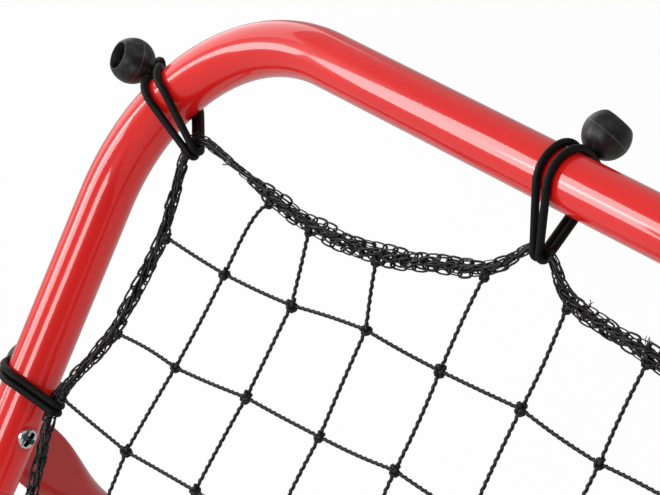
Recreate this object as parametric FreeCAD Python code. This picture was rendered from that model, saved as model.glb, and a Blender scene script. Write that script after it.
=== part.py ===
import FreeCAD, Part
import math
import os

V = FreeCAD.Vector

# Leaning practice goal: a round-tube face frame with a taut net tied in by ball bungees,
# held up by a folding rear stand. Millimetres, +Z up, +Y to the rear, X across.
# The face is drawn upright in its own plane (x, n, s): s runs up the posts from the
# bottom bar's axis, n is square to the net and points to the rear.

# Face frame
tube_d = 32.0            # 1.25 inch tube
tube_wall = 1.5
face_width = 1340.0      # between the posts' axes, 1372 over the tubes
face_height = 1035.0     # between the bars' axes, 1067 over the tubes
corner_r = 131.0         # bend radius on the tube's axis
lean = 28.8              # how far the face leans back, in degrees
bar_lift = 23.0          # bottom bar's axis above the ground

# Slip joints: one end is drawn down to a neck that enters the next tube
neck_gap = 0.3           # radial room between the neck and its socket
neck_length = 55.0
neck_cone = 1.5
seam_depth = 310.5       # post seam below the top bar's axis
joint_screw_offset = 27.0

# Rear stand
stand_d = 25.4
stand_wall = 1.5
stand_open = 68.0        # angle from post to leg when open
stand_lift = 18.2        # rear bar's axis above the ground
stand_bend_r = 92.0
pivot_depth = 275.5      # pivot below the top bar's axis
leg_flat = 3.2           # room taken by the pressed leg end, two walls thick
press_ease = 0.1         # the pressed end stays this much inside the round tube's skin
leg_flat_length = 48.0
leg_round_at = 115.0     # where the leg is round again
leg_end_r = 18.6

# Pivot hardware
pivot_screw_d = 6.0
pivot_hole_d = 6.2
pivot_head_d = 12.3
pivot_head_h = 3.8
seat_depth = 0.9         # flat pressed into the tube under the head
spacer_d = 20.0
spacer_thick = 2.6
nut_across = 10.0
nut_height = 6.5
nut_flange_d = 13.0
play = 0.2

# Net: twine squares hung on a knitted border rope
twine = 2.5
columns = 19
rows = 14
rope_d = 9.0
rope_edge = 3.3          # the twines end this far in from the rope's axis

# Bungees: a loop of cord runs from a ball down behind the tube, under the rope and up the
# front, where its end hooks round the cord's two strands at the ball's neck
cord_d = 4.5
cord_spread = 5.4        # between the two strands at the rope
cord_room = 0.4
cord_step = 36.0         # turn between two points of a cord round the tube
cord_sides = 6
hook_drop = 2.7          # the hook's middle below the ball's neck
hook_side = 7.7          # and to either side of the ball's axis
hook_lead = 6.0          # level run before the hook, where the cord leaves the tube early
ball_d = 26.8
ball_mouth_d = 15.6
ball_mouth_flat = 3.2
ball_bore_d = 9.8        # the cord's two strands fill it
ball_mouth_depth = 15.0

# Ball's middle from the tie's foot on the tube's axis, and its axis from neck to mouth:
# along the tube, outward, rearward
bar_ball = ((-9.5, 28.4, 20.6), (0.12, 0.935, 0.33))
bar_ball_low = ((-9.5, -10.8, 33.4), (0.12, -0.024, 0.99))
post_ball = ((8.5, 29.6, 17.8), (-0.12, 0.935, 0.33))
bend_ball = ((12.6, 34.2, -9.4), (0.143, 0.216, -0.963))

# Spreader straps
strap_width = 25.0
strap_thick = 1.6
strap_reach = 470.0      # from the pivot to either end of the strap
strap_tab = 30.0
strap_end = 16.0
strap_screw_d = 5.0
strap_head_d = 9.5
strap_head_h = 3.2
washer_d = 15.0
washer_thick = 1.0

# Pads under the two bars
pad_length = 70.0
front_pad_x = 455.0
rear_pad_x = 430.0
pad_room = 0.15

# Border rope's axis, from the middle of a post over the corner to the middle of the top bar:
# distance in from the post's axis, and down from the top bar's axis.
# A twine ends at every point of a run, and at one side of the middle and post ties.
side_run = [(40.0, 487.0), (48.0, 427.0), (49.0, 366.0), (39.0, 303.0)]
side_tie = (28.0, 251.0)
shoulder_run = [(51.0, 193.0), (58.0, 132.0)]
corner_tie = (54.5, 80.3)
crown_run = [(131.0, 82.0), (169.0, 85.0), (226.0, 81.0), (304.0, 60.0)]
bar_tie = (337.0, 39.0)
bar_run = [(370.0, 54.0), (434.0, 59.0), (491.0, 62.0), (551.0, 61.0), (611.0, 57.0)]
tie_flat = 8.0           # half the level stretch of rope inside a tie

# Knots of the taut net near each corner, row by row, measured like the rope.
# The others settle between them; a twine tied to the rope pulls a little harder.
corner_knots = [
    [(119.0, 133.0), (179.0, 129.0), (240.0, 120.0), (303.0, 119.0), (367.0, 115.0), (431.0, 119.0)],
    [(111.0, 193.0), (174.0, 186.0), (239.0, 183.0), (301.0, 177.0)],
    [(100.0, 249.0), (165.0, 246.0)],
]
rope_pull = 1.2

tube_r = tube_d / 2
tube_bore = tube_r - tube_wall
stand_r = stand_d / 2
stand_bore = stand_r - stand_wall
half_width = face_width / 2
leg_x = tube_r + spacer_thick + play + stand_r   # leg axis outside the post axis
mid_depth = face_height / 2
seam_height = face_height - seam_depth
pivot_height = face_height - pivot_depth

# The two bars stand the part on its pads; the origin is on the ground midway between them
leg_tilt = stand_open - lean
pivot_back = pivot_height * math.sin(math.radians(lean))
pivot_rise = pivot_height * math.cos(math.radians(lean)) + bar_lift
leg_length = (pivot_rise - stand_lift) / math.cos(math.radians(leg_tilt))
bars_apart = pivot_back + leg_length * math.sin(math.radians(leg_tilt))
front_bar_y = -(bars_apart + stand_lift - bar_lift) / 2

to_face = FreeCAD.Placement(V(0, front_bar_y, bar_lift), FreeCAD.Rotation(V(1, 0, 0), -lean))
pivot_point = to_face.multVec(V(0, 0, pivot_height))
to_stand = FreeCAD.Placement(pivot_point, FreeCAD.Rotation(V(1, 0, 0), leg_tilt))

X, N, S = V(1, 0, 0), V(0, 1, 0), V(0, 0, 1)


def save(node, shape, placement=None):
    solid = shape.copy()
    if placement is not None:
        solid.Placement = placement.multiply(solid.Placement)
    solid.exportStep("parts/" + node + ".step")


def tube_run(start, end, outer, inner):
    along = end - start
    run = Part.makeCylinder(outer, along.Length, start, along)
    return run.cut(Part.makeCylinder(inner, along.Length, start, along))


def ring(centre, normal, outer, inner):
    rims = [Part.Wire(Part.makeCircle(r, centre, normal)) for r in (outer, inner)]
    return Part.Face(rims)


def corner_tube(side, post_x, post_end, bar_level, bar_end, bend_r, outer, inner):
    """Post run, quarter bend and bar run. side is -1 on the left, 1 on the right."""
    up = 1 if post_end > bar_level else -1
    bend_start = V(side * post_x, 0, bar_level + up * bend_r)
    bend_end = V(side * (post_x - bend_r), 0, bar_level)
    post = tube_run(V(side * post_x, 0, post_end), bend_start, outer, inner)
    bar = tube_run(bend_end, V(bar_end, 0, bar_level), outer, inner)
    centre = V(side * (post_x - bend_r), 0, bar_level + up * bend_r)
    bend = ring(bend_start, S, outer, inner).revolve(centre, N, 90.0 * side * up)
    return post.fuse([bend, bar]).removeSplitter()


def neck(shoulder, direction, outer, bore):
    """Drawn-down end: a short cone, then a neck that slides into the next tube."""
    neck_outer = bore - neck_gap
    neck_inner = neck_outer - tube_wall
    end = neck_cone + neck_length
    outline = [
        (outer, 0), (neck_outer, neck_cone), (neck_outer, end), (neck_inner, end),
        (neck_inner, neck_cone), (bore, 0), (outer, 0),
    ]
    profile = Part.Face(Part.makePolygon([V(r, 0, z) for r, z in outline]))
    turned = profile.revolve(V(0, 0, 0), S, 360)
    turned.Placement = FreeCAD.Placement(shoulder, FreeCAD.Rotation(S, direction))
    return turned


def drill(shape, point, direction, diameter, length):
    start = point - direction * (length / 2)
    return shape.cut(Part.makeCylinder(diameter / 2, length, start, direction))


def pan_screw(seat, outward, head_d, head_h, shank_d, shank_length):
    """Pan head with a domed top; the shank runs inward from the seat."""
    r, side, crown = head_d / 2, head_h * 0.5, head_d * 0.16
    shank = Part.makePolygon([V(crown, 0, head_h), V(0, 0, head_h), V(0, 0, -shank_length),
                              V(shank_d / 2, 0, -shank_length), V(shank_d / 2, 0, 0),
                              V(r, 0, 0), V(r, 0, side)])
    dome = Part.Arc(V(r, 0, side), V(r * 0.77, 0, head_h * 0.87), V(crown, 0, head_h)).toShape()
    screw = Part.Face(Part.Wire(shank.Edges + [dome])).revolve(V(0, 0, 0), S, 360)
    screw.Placement = FreeCAD.Placement(seat, FreeCAD.Rotation(S, outward))
    return screw


# Face frame: four bent tubes with slip joints in the posts and in both bars

def face_tubes():
    tubes = {}
    for side, word in ((-1, "left"), (1, "right")):
        upper = corner_tube(side, half_width, seam_height + neck_cone, face_height, 0,
                            corner_r, tube_r, tube_bore)
        lower = corner_tube(side, half_width, seam_height, 0, 0, corner_r, tube_r, tube_bore)
        post_seam = V(side * half_width, 0, seam_height)
        lower = lower.fuse(neck(post_seam, S, tube_r, tube_bore)).removeSplitter()
        tubes["upper_" + word + "_tube"] = upper
        tubes["lower_" + word + "_tube"] = lower
    for level, word in ((face_height, "upper_"), (0, "lower_")):
        male = tubes[word + "left_tube"]
        male = male.cut(Part.makeBox(neck_cone, tube_d + 2, tube_d + 2,
                                     V(-neck_cone, -tube_r - 1, level - tube_r - 1)))
        plug = neck(V(-neck_cone, 0, level), X, tube_r, tube_bore)
        tubes[word + "left_tube"] = male.fuse(plug).removeSplitter()
    return tubes


def drill_frame(tubes):
    for side, word in ((-1, "left"), (1, "right")):
        pivot = V(side * half_width, 0, pivot_height)
        for name in ("upper_" + word + "_tube", "lower_" + word + "_tube"):
            tubes[name] = drill(tubes[name], pivot, X, pivot_hole_d + 0.3, tube_d + 8)
        seat = pivot - X * side * (tube_r - seat_depth)
        press = Part.makeCylinder(pivot_head_d / 2 + 0.9, 4, seat, X * -side)
        tubes["upper_" + word + "_tube"] = tubes["upper_" + word + "_tube"].cut(press)
        strap_hole = V(side * (half_width - tube_bore), 0, pivot_height - strap_reach)
        name = "lower_" + word + "_tube"
        tubes[name] = drill(tubes[name], strap_hole, X, strap_screw_d + 0.4, 8)
    for level, word in ((face_height, "upper_"), (0, "lower_")):
        hole = V(joint_screw_offset, tube_bore, level)
        for name in (word + "left_tube", word + "right_tube"):
            tubes[name] = drill(tubes[name], hole, N, strap_screw_d + 0.4, 8)
    return tubes


# Pivot: screw through the post, saddle spacer, pressed leg end, lock nut

def saddle_spacer(side):
    reach = tube_r + spacer_thick
    centre = V(side * half_width, 0, pivot_height)
    disc = Part.makeCylinder(spacer_d / 2, reach, centre, X * side)
    post = Part.makeCylinder(tube_r + 0.05, 60, centre - S * 30, S)
    return drill(disc.cut(post), centre, X, pivot_hole_d + 0.2, 90)


def lock_nut(side, start):
    base = Part.makeCylinder(nut_flange_d / 2, 1.2, V(0, 0, 0), S)
    turns = [math.radians(60 * k) for k in range(7)]
    r = nut_across / math.sqrt(3)
    hexagon = Part.makePolygon([V(r * math.cos(a), r * math.sin(a), 0) for a in turns])
    body = Part.Face(hexagon).extrude(V(0, 0, nut_height))
    nut = base.fuse(body).cut(Part.makeCylinder(pivot_screw_d / 2, 20, V(0, 0, -5), S))
    start_point = V(side * start, 0, pivot_height)
    nut.Placement = FreeCAD.Placement(start_point, FreeCAD.Rotation(S, X * side))
    return nut.removeSplitter()


def pivot_set(side):
    leg_outer = half_width + tube_r + spacer_thick + play + leg_flat
    nut_start = leg_outer + play
    seat = V(side * (half_width - tube_r + seat_depth), 0, pivot_height)
    length = nut_start + nut_height + 1.5 - half_width + tube_r - seat_depth
    screw = pan_screw(seat, X * -side, pivot_head_d, pivot_head_h, pivot_screw_d, length)
    return screw, saddle_spacer(side), lock_nut(side, nut_start)


# Rear stand: two bent tubes whose upper ends are pressed flat round the pivot

def pressed_section(side, flat, round_share, z, shrink=press_ease):
    """Tube pressed to a thickness of 2 * flat, less shrink all round; the girth stays the same."""
    girth_half = math.pi * stand_r / 2
    b = flat - shrink
    a = girth_half - (math.pi / 2 - 1) * flat - shrink
    corner_a = a - 0.293 * b
    corner_b = b * (0.97 - 0.263 * round_share)
    x0 = half_width + tube_r + spacer_thick + play + flat
    turn = [(corner_b, corner_a), (b, 0), (corner_b, -corner_a), (0, -a),
            (-corner_b, -corner_a), (-b, 0), (-corner_b, corner_a), (0, a)]
    p = [V(side * (x0 + x), y, z) for x, y in turn]
    arcs = [Part.Arc(p[0], p[1], p[2]), Part.Arc(p[2], p[3], p[4]),
            Part.Arc(p[4], p[5], p[6]), Part.Arc(p[6], p[7], p[0])]
    return Part.Wire([arc.toShape() for arc in arcs])


def pressed_end(side):
    steps = [(0.0, leg_flat_length), (0.10, 62.0), (0.45, 82.0), (0.86, 100.0), (1.0, leg_round_at)]
    outer, inner = [], []
    for share, down in steps:
        flat = leg_flat / 2 + share * (stand_r - leg_flat / 2)
        outer.append(pressed_section(side, flat, share, -down))
        if share > 0.3:
            inner.append(pressed_section(side, flat, share, -down, stand_wall + press_ease))
    taper = Part.makeLoft(outer, True).cut(Part.makeLoft(inner, True))
    blade = Part.Face(pressed_section(side, leg_flat / 2, 0.0, -leg_flat_length))
    blade = blade.extrude(V(0, 0, leg_flat_length + leg_end_r))
    half = V(side * half_width, 0, 0)
    nose = Part.makeCylinder(leg_end_r, 90, half, X * side)
    below = Part.makeBox(400, 60, leg_flat_length, V(side * half_width - 200, -30, -leg_flat_length))
    blade = blade.common(nose.fuse(below))
    return drill(blade.fuse(taper), half, X, pivot_hole_d, 120)


def stand_tubes():
    legs = {}
    post_x = half_width + leg_x
    for side, word in ((-1, "left"), (1, "right")):
        leg = corner_tube(side, post_x, -leg_round_at, -leg_length, 0, stand_bend_r,
                          stand_r, stand_bore)
        if side < 0:
            leg = leg.cut(Part.makeBox(neck_cone, stand_d + 2, stand_d + 2,
                                       V(-neck_cone, -stand_r - 1, -leg_length - stand_r - 1)))
            leg = leg.fuse(neck(V(-neck_cone, 0, -leg_length), X, stand_r, stand_bore))
        leg = leg.fuse(pressed_end(side)).removeSplitter()
        leg = drill(leg, V(joint_screw_offset, stand_bore, -leg_length), N, strap_screw_d + 0.4, 8)
        strap_hole = V(side * (post_x - stand_bore), 0, -strap_reach)
        legs["rear_leg_" + word] = drill(leg, strap_hole, X, strap_screw_d + 0.4, 8)
    return legs


# Net and its border rope, in the face's plane

def from_corner(point, flip_x, flip_s):
    """A place measured from the upper left corner, carried to one of the four corners."""
    x = -half_width + point[0]
    s = face_height - point[1]
    return V(-x if flip_x else x, 0, face_height - s if flip_s else s)


def tie_pair(tie, tangent):
    step = [tie_flat * t for t in tangent]
    return [(tie[0] - step[0], tie[1] + step[1]), (tie[0] + step[0], tie[1] - step[1])]


def corner_tangent():
    centre = corner_r
    dx, dd = corner_tie[0] - centre, corner_tie[1] - centre
    reach = math.hypot(dx, dd)
    return -dd / reach, -dx / reach


def quarter_rope():
    """Points and whether each is a twine's end, from mid post to mid bar."""
    quarter = [((side_tie[0], mid_depth - tie_flat), False)]
    quarter += [(p, True) for p in side_run]
    low, high = tie_pair(side_tie, (0.0, 1.0))
    quarter += [(low, False), (high, True)]
    quarter += [(p, True) for p in shoulder_run]
    quarter += [(p, False) for p in tie_pair(corner_tie, corner_tangent())]
    quarter += [(p, True) for p in crown_run]
    quarter += [(p, False) for p in tie_pair(bar_tie, (1.0, 0.0))]
    quarter += [(p, True) for p in bar_run]
    quarter += [((half_width - tie_flat, bar_tie[1]), False)]
    return quarter


def rope_route():
    """The closed rope, clockwise from the middle of the left post."""
    quarter = quarter_rope()
    route = []
    for flip_x, flip_s in ((False, False), (True, False), (True, True), (False, True)):
        run = [(from_corner(p, flip_x, flip_s), ends) for p, ends in quarter]
        if flip_x == flip_s:
            run[-1] = (run[-1][0], True)
        else:
            run.reverse()
        route += run
    return route


def rope_rim(route):
    """Where the net meets the rope: the rope's line moved in a little."""
    places = inset([p for p, _ in route], rope_edge)
    return [(place, is_end) for place, (_, is_end) in zip(places, route)]


def ends_on(route):
    """Twine ends on the left, top, right and bottom, each in grid order."""
    ends = [(k, p) for k, (p, is_end) in enumerate(route) if is_end]
    order = ends[-(rows // 2):] + ends[:-(rows // 2)]
    left = list(reversed(order[:rows]))
    upper = order[rows:rows + columns]
    right = order[rows + columns:2 * rows + columns]
    lower = list(reversed(order[2 * rows + columns:]))
    return left, upper, right, lower


def knots(left, upper, right, lower):
    """A taut net: every knot settles midway between its four neighbours."""
    grid = [[None] * (columns + 2) for _ in range(rows + 2)]
    for j in range(columns):
        grid[0][j + 1] = upper[j][1]
        grid[rows + 1][j + 1] = lower[j][1]
    for i in range(rows):
        grid[i + 1][0] = left[i][1]
        grid[i + 1][columns + 1] = right[i][1]
        for j in range(columns):
            share = (i + 1) / (rows + 1)
            grid[i + 1][j + 1] = upper[j][1] * (1 - share) + lower[j][1] * share
    held = set()
    for i, row in enumerate(corner_knots, 1):
        for j, point in enumerate(row, 1):
            for flip_x, flip_s in ((False, False), (True, False), (False, True), (True, True)):
                place = (rows + 1 - i if flip_s else i, columns + 1 - j if flip_x else j)
                grid[place[0]][place[1]] = from_corner(point, flip_x, flip_s)
                held.add(place)
    for _ in range(300):
        for i in range(1, rows + 1):
            for j in range(1, columns + 1):
                if (i, j) in held:
                    continue
                total, pull = V(0, 0, 0), 0.0
                for a, b in ((i - 1, j), (i + 1, j), (i, j - 1), (i, j + 1)):
                    share = rope_pull if a in (0, rows + 1) or b in (0, columns + 1) else 1.0
                    total += grid[a][b] * share
                    pull += share
                grid[i][j] = total / pull
    return grid


def inset(outline, distance):
    """Move every side of a clockwise outline inward by the same distance."""
    moved = []
    count = len(outline)
    for k in range(count):
        before, here, after = outline[k - 1], outline[k], outline[(k + 1) % count]
        d1 = (here - before).normalize()
        d2 = (after - here).normalize()
        n1, n2 = V(d1.z, 0, -d1.x), V(d2.z, 0, -d2.x)
        bisector = n1 + n2
        moved.append(here + bisector * (distance / bisector.dot(n1)))
    return moved


def net_face(route, grid, left, upper, right, lower):
    """One face with a hole for every gap of the net."""
    count = len(route)

    def along_rope(start, end):
        picked, k = [], start
        while k != end:
            picked.append(route[k][0])
            k = (k + 1) % count
        return picked + [route[end][0]]

    holes = []
    for i in range(rows + 1):
        for j in range(columns + 1):
            first_row, last_row = i == 0, i == rows
            first_col, last_col = j == 0, j == columns
            if first_row and first_col:
                cell = along_rope(left[0][0], upper[0][0]) + [grid[1][1]]
            elif first_row and last_col:
                cell = along_rope(upper[-1][0], right[0][0]) + [grid[1][columns]]
            elif last_row and last_col:
                cell = along_rope(right[-1][0], lower[-1][0]) + [grid[rows][columns]]
            elif last_row and first_col:
                cell = along_rope(lower[0][0], left[-1][0]) + [grid[rows][1]]
            elif first_row:
                cell = along_rope(upper[j - 1][0], upper[j][0]) + [grid[1][j + 1], grid[1][j]]
            elif last_row:
                cell = along_rope(lower[j][0], lower[j - 1][0]) + [grid[rows][j], grid[rows][j + 1]]
            elif first_col:
                cell = along_rope(left[i][0], left[i - 1][0]) + [grid[i][1], grid[i + 1][1]]
            elif last_col:
                cell = along_rope(right[i - 1][0], right[i][0]) + [grid[i + 1][columns], grid[i][columns]]
            else:
                cell = [grid[i][j], grid[i][j + 1], grid[i + 1][j + 1], grid[i + 1][j]]
            gap = inset(cell, twine / 2)
            holes.append(Part.makePolygon(gap + [gap[0]]))
    rim = [p for p, _ in route]
    outline = Part.makePolygon(rim + [rim[0]])
    return Part.Face([outline] + holes), len(holes)


def faceted_tube(points, r, sides, closed=False, side_axis=N):
    """A cord of flat faces: each run is a prism, cut on the mitre where runs meet."""
    count = len(points)
    spans = count if closed else count - 1
    runs = [(points[(k + 1) % count] - points[k]).normalize() for k in range(spans)]
    first = runs[0]
    across = side_axis - first * side_axis.dot(first)
    across.normalize()
    other = first.cross(across)
    start = []
    for k in range(sides):
        angle = 2 * math.pi * (k + 0.5) / sides
        start.append(points[0] + across * (r * math.cos(angle)) + other * (r * math.sin(angle)))
    if closed:
        mitre = (runs[-1] + first).normalize()
        start = [p - first * ((p - points[0]).dot(mitre) / first.dot(mitre)) for p in start]
    rings = [start]
    for k in range(1, count):
        travel = runs[k - 1]
        facing = (travel + runs[k]).normalize() if k < len(runs) else travel
        here = points[k % count]
        rings.append([p + travel * ((here - p).dot(facing) / travel.dot(facing)) for p in rings[-1]])
    if closed:
        rings.append(start)
    faces = []
    for before, after in zip(rings, rings[1:]):
        for k in range(sides):
            m = (k + 1) % sides
            loop = [before[k], before[m], after[m], after[k], before[k]]
            faces.append(Part.Face(Part.makePolygon(loop)))
    if not closed:
        for end in (rings[0], rings[-1]):
            faces.append(Part.Face(Part.makePolygon(end + [end[0]])))
    solid = Part.makeSolid(Part.makeShell(faces))
    if solid.Volume < 0:
        solid.reverse()
    return solid


# Bungees: sixteen places round the face

def ties():
    """Place on the tube's axis, outward, along, rope distance, and how the ball sits."""
    out = []
    for x, way in ((bar_tie[0] - half_width, 1), (0.0, 1), (half_width - bar_tie[0], -1)):
        out.append((V(x, 0, face_height), S, X * way, bar_tie[1], bar_ball))
        out.append((V(x, 0, 0), -S, X * way, bar_tie[1], bar_ball_low))
    for side in (-1, 1):
        for depth, way in ((side_tie[1], 1), (mid_depth, 1), (face_height - side_tie[1], -1)):
            out.append((V(side * half_width, 0, face_height - depth), X * side, S * way,
                        side_tie[0], post_ball))
        for level, up in ((face_height, -1), (0, 1)):
            centre = V(side * (half_width - corner_r), 0, level + up * corner_r)
            tie_x = side * (half_width - corner_tie[0])
            outward = V(tie_x, 0, level + up * corner_tie[1]) - centre
            gap = corner_r - outward.Length
            outward.normalize()
            along = V(outward.z, 0, -outward.x) * (-side * up)
            out.append((centre + outward * corner_r, outward, along, gap, bend_ball))
    return out


def steps_between(first, last):
    count = max(1, math.ceil(abs(last - first) / cord_step - 0.01))
    return [first + (last - first) * k / count for k in range(count + 1)]


def to_segment(point, start, end):
    run = end - start
    share = max(0.0, min(1.0, (point - start).dot(run) / run.dot(run)))
    return (point - start - run * share).Length


def bungee(tie):
    foot, outward, along, gap, (seat, axis) = tie
    r = cord_d / 2
    lane = r + 0.12
    wrap = (tube_r + r + cord_room) / math.cos(math.radians(cord_step / 2))
    pinch = rope_d / 2 + r + cord_room
    leave = 90.0 + math.degrees(math.asin((wrap - pinch) / gap))

    def place(a, o, n):
        return foot + along * a + outward * o + N * n

    def turn_of(point):
        """Angle round the tube, and the turn from there to the touching point of a straight run."""
        o, n = (point - foot).dot(outward), (point - foot).dot(N)
        return (math.degrees(math.atan2(n, o)),
                math.degrees(math.acos(min(1.0, wrap / math.hypot(o, n)))))

    def from_axis(point):
        return math.hypot((point - foot).dot(outward), (point - foot).dot(N))

    middle = place(*seat)
    axis = (along * axis[0] + outward * axis[1] + N * axis[2]).normalize()
    sideways = (along - axis * along.dot(axis)).normalize()
    exit_point = middle - axis * (ball_d / 2 + 0.4)
    below = exit_point
    while from_axis(below) > wrap and (below - exit_point).Length < 6.0:
        below = below - axis * 0.2
    if from_axis(below) > wrap + 1.0:
        below = exit_point - axis * 2.0
    hook = middle - axis * (ball_d / 2 + hook_drop)
    at, off = turn_of(hook)
    aim = hook
    if off > 20.0:
        inward = outward - axis * outward.dot(axis)
        aim = hook - inward.normalize() * hook_lead
        at, off = turn_of(aim)
    front_turns = steps_between(-leave, at - max(off, 12.0))
    at_neck, off_neck = turn_of(below)
    rear_turns = steps_between(at_neck + max(off_neck, 20.0), leave)
    if at_neck + off_neck > leave - 8.0:
        rear_turns = []
    last = math.radians(front_turns[-1])
    travel = hook - place((hook - foot).dot(along), wrap * math.cos(last), wrap * math.sin(last))
    back = (travel - axis * travel.dot(axis) - sideways * travel.dot(sideways)).normalize()
    neck_a = (below - foot).dot(along)
    hook_a = (hook - foot).dot(along)
    rear_line = [exit_point, below]
    for k, turn in enumerate(rear_turns):
        a = math.radians(turn)
        share = 1.0 - k / len(rear_turns)
        rear_line.append(place(neck_a * share, wrap * math.cos(a), wrap * math.sin(a)))
    reach = pinch / math.cos(math.radians((180 - leave) / 3))
    a = math.radians(leave)
    at_rope = place(0, reach * math.cos(a) - gap, reach * math.sin(a))
    if not rear_turns:
        run = at_rope + along * neck_a - below
        rear_line.append(below + run.normalize() * 11.0)
    rear_line.append(at_rope)

    # The hook's end settles at the nearest place that is clear of the ball and both strands
    room = 2 * r + 0.15
    far = None
    for k in range(60):
        for drop in (2.8, 3.2, 3.6, 2.4, 2.0, 1.6):
            spot = middle - axis * (ball_d / 2 + drop) + back * (5.0 + 0.2 * k)
            clear = min(to_segment(spot, a, b) for a, b in zip(rear_line, rear_line[1:]))
            if far is None and (spot - middle).Length > ball_d / 2 + r + 0.3 and clear > room:
                far = spot

    def strand(s):
        half = s * cord_spread / 2
        points = [middle - axis * 3.0 + sideways * (s * lane), below + sideways * (s * lane)]
        points += [p + along * half for p in rear_line[2:-1]]
        for k in range(4):
            a = math.radians(leave + (360 - 2 * leave) * k / 3)
            points.append(place(half, reach * math.cos(a) - gap, reach * math.sin(a)))
        count = len(front_turns)
        for k, turn in enumerate(front_turns):
            share = (k + 1) / (count + 1)
            a = math.radians(turn)
            spread = half + s * (hook_side - cord_spread / 2) * share
            points.append(place(hook_a * share + spread, wrap * math.cos(a), wrap * math.sin(a)))
        if aim is not hook:
            points.append(aim + sideways * (s * (hook_side - 0.6)))
        points.append(hook + sideways * (s * hook_side))
        points.append(far + sideways * (s * (hook_side - 3.2)))
        return points

    path = strand(1) + list(reversed(strand(-1)))
    cord = faceted_tube(path, r * 1.05, cord_sides, side_axis=axis.cross(sideways))
    return cord, ball(middle, axis)


def ball(centre, axis):
    """Hollow moulded ball: a wide mouth for the knot, a narrow bore for the cord."""
    r = ball_d / 2
    mouth, bore = ball_mouth_d / 2, ball_bore_d / 2
    top = r - ball_mouth_flat
    lip, root = math.sqrt(r * r - top * top), -math.sqrt(r * r - bore * bore)
    floor = top - ball_mouth_depth
    outline = Part.Wire([
        Part.Arc(V(bore, 0, root), V(r, 0, 0), V(lip, 0, top)).toShape(),
        *Part.makePolygon([V(lip, 0, top), V(mouth, 0, top), V(mouth, 0, floor),
                           V(bore, 0, floor), V(bore, 0, root)]).Edges,
    ])
    shell = Part.Face(outline).revolve(V(0, 0, 0), S, 360)
    shell.Placement = FreeCAD.Placement(centre, FreeCAD.Rotation(S, axis))
    return shell


# Straps that stop the stand from opening further

def strap_line(side):
    """Strap ends on the inner side of post and leg, and the strap's own frame."""
    front = to_face.multVec(V(0, 0, pivot_height - strap_reach))
    rear = to_stand.multVec(V(0, 0, -strap_reach))
    chord = rear - front
    front_in = tube_r + play + strap_thick / 2
    rear_out = tube_r + spacer_thick - strap_thick / 2
    return front, rear, chord, front_in, rear_out


def strap(side):
    front, rear, chord, front_in, rear_out = strap_line(side)
    span = chord.Length
    run = [(-strap_end, -front_in), (strap_tab, -front_in), (span - strap_tab, rear_out),
           (span + strap_end, rear_out)]
    upper = [(c, x + strap_thick / 2) for c, x in run]
    lower = [(c, x - strap_thick / 2) for c, x in reversed(run)]
    outline = [V(side * (half_width + x), c, -strap_width / 2) for c, x in upper + lower]
    web = Part.Face(Part.makePolygon(outline + [outline[0]])).extrude(V(0, 0, strap_width))
    for c, x in ((0, -front_in), (span, rear_out)):
        web = drill(web, V(side * (half_width + x), c, 0), X, strap_screw_d + 0.4, 8)
    turn = math.degrees(math.atan2(chord.z, chord.y))
    web.Placement = FreeCAD.Placement(front, FreeCAD.Rotation(X, turn))
    return web


def strap_hardware(side):
    """A washer and a screw at each end, as (front, rear) pairs."""
    front, rear, chord, front_in, rear_out = strap_line(side)
    sets = []
    for centre, x in ((front, half_width - front_in), (rear, half_width + rear_out)):
        face = V(side * (x - strap_thick / 2), centre.y, centre.z)
        washer = Part.makeCylinder(washer_d / 2, washer_thick, face, X * -side)
        washer = drill(washer, face, X, strap_screw_d + 0.4, 8)
        seat = face - X * side * washer_thick
        screw = pan_screw(seat, X * -side, strap_head_d, strap_head_h, strap_screw_d, 9.0)
        sets.append((washer, screw))
    return sets


# Pads: sleeves with a flat sole under each bar

def pad(x, centre_y, r, bar_r):
    """The sleeve's outer radius is also the bar's height above the ground."""
    left, right = V(0, centre_y - r, r), V(0, centre_y + r, r)
    sole = Part.makePolygon([right, V(0, centre_y + r, 2), V(0, centre_y + r - 2, 0),
                             V(0, centre_y - r + 2, 0), V(0, centre_y - r, 2), left])
    crown = Part.Arc(left, V(0, centre_y, 2 * r), right).toShape()
    block = Part.Face(Part.Wire(sole.Edges + [crown])).extrude(V(pad_length, 0, 0))
    block.translate(V(x - pad_length / 2, 0, 0))
    return drill(block, V(x, centre_y, r), X, 2 * (bar_r + pad_room), pad_length + 2)


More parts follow.
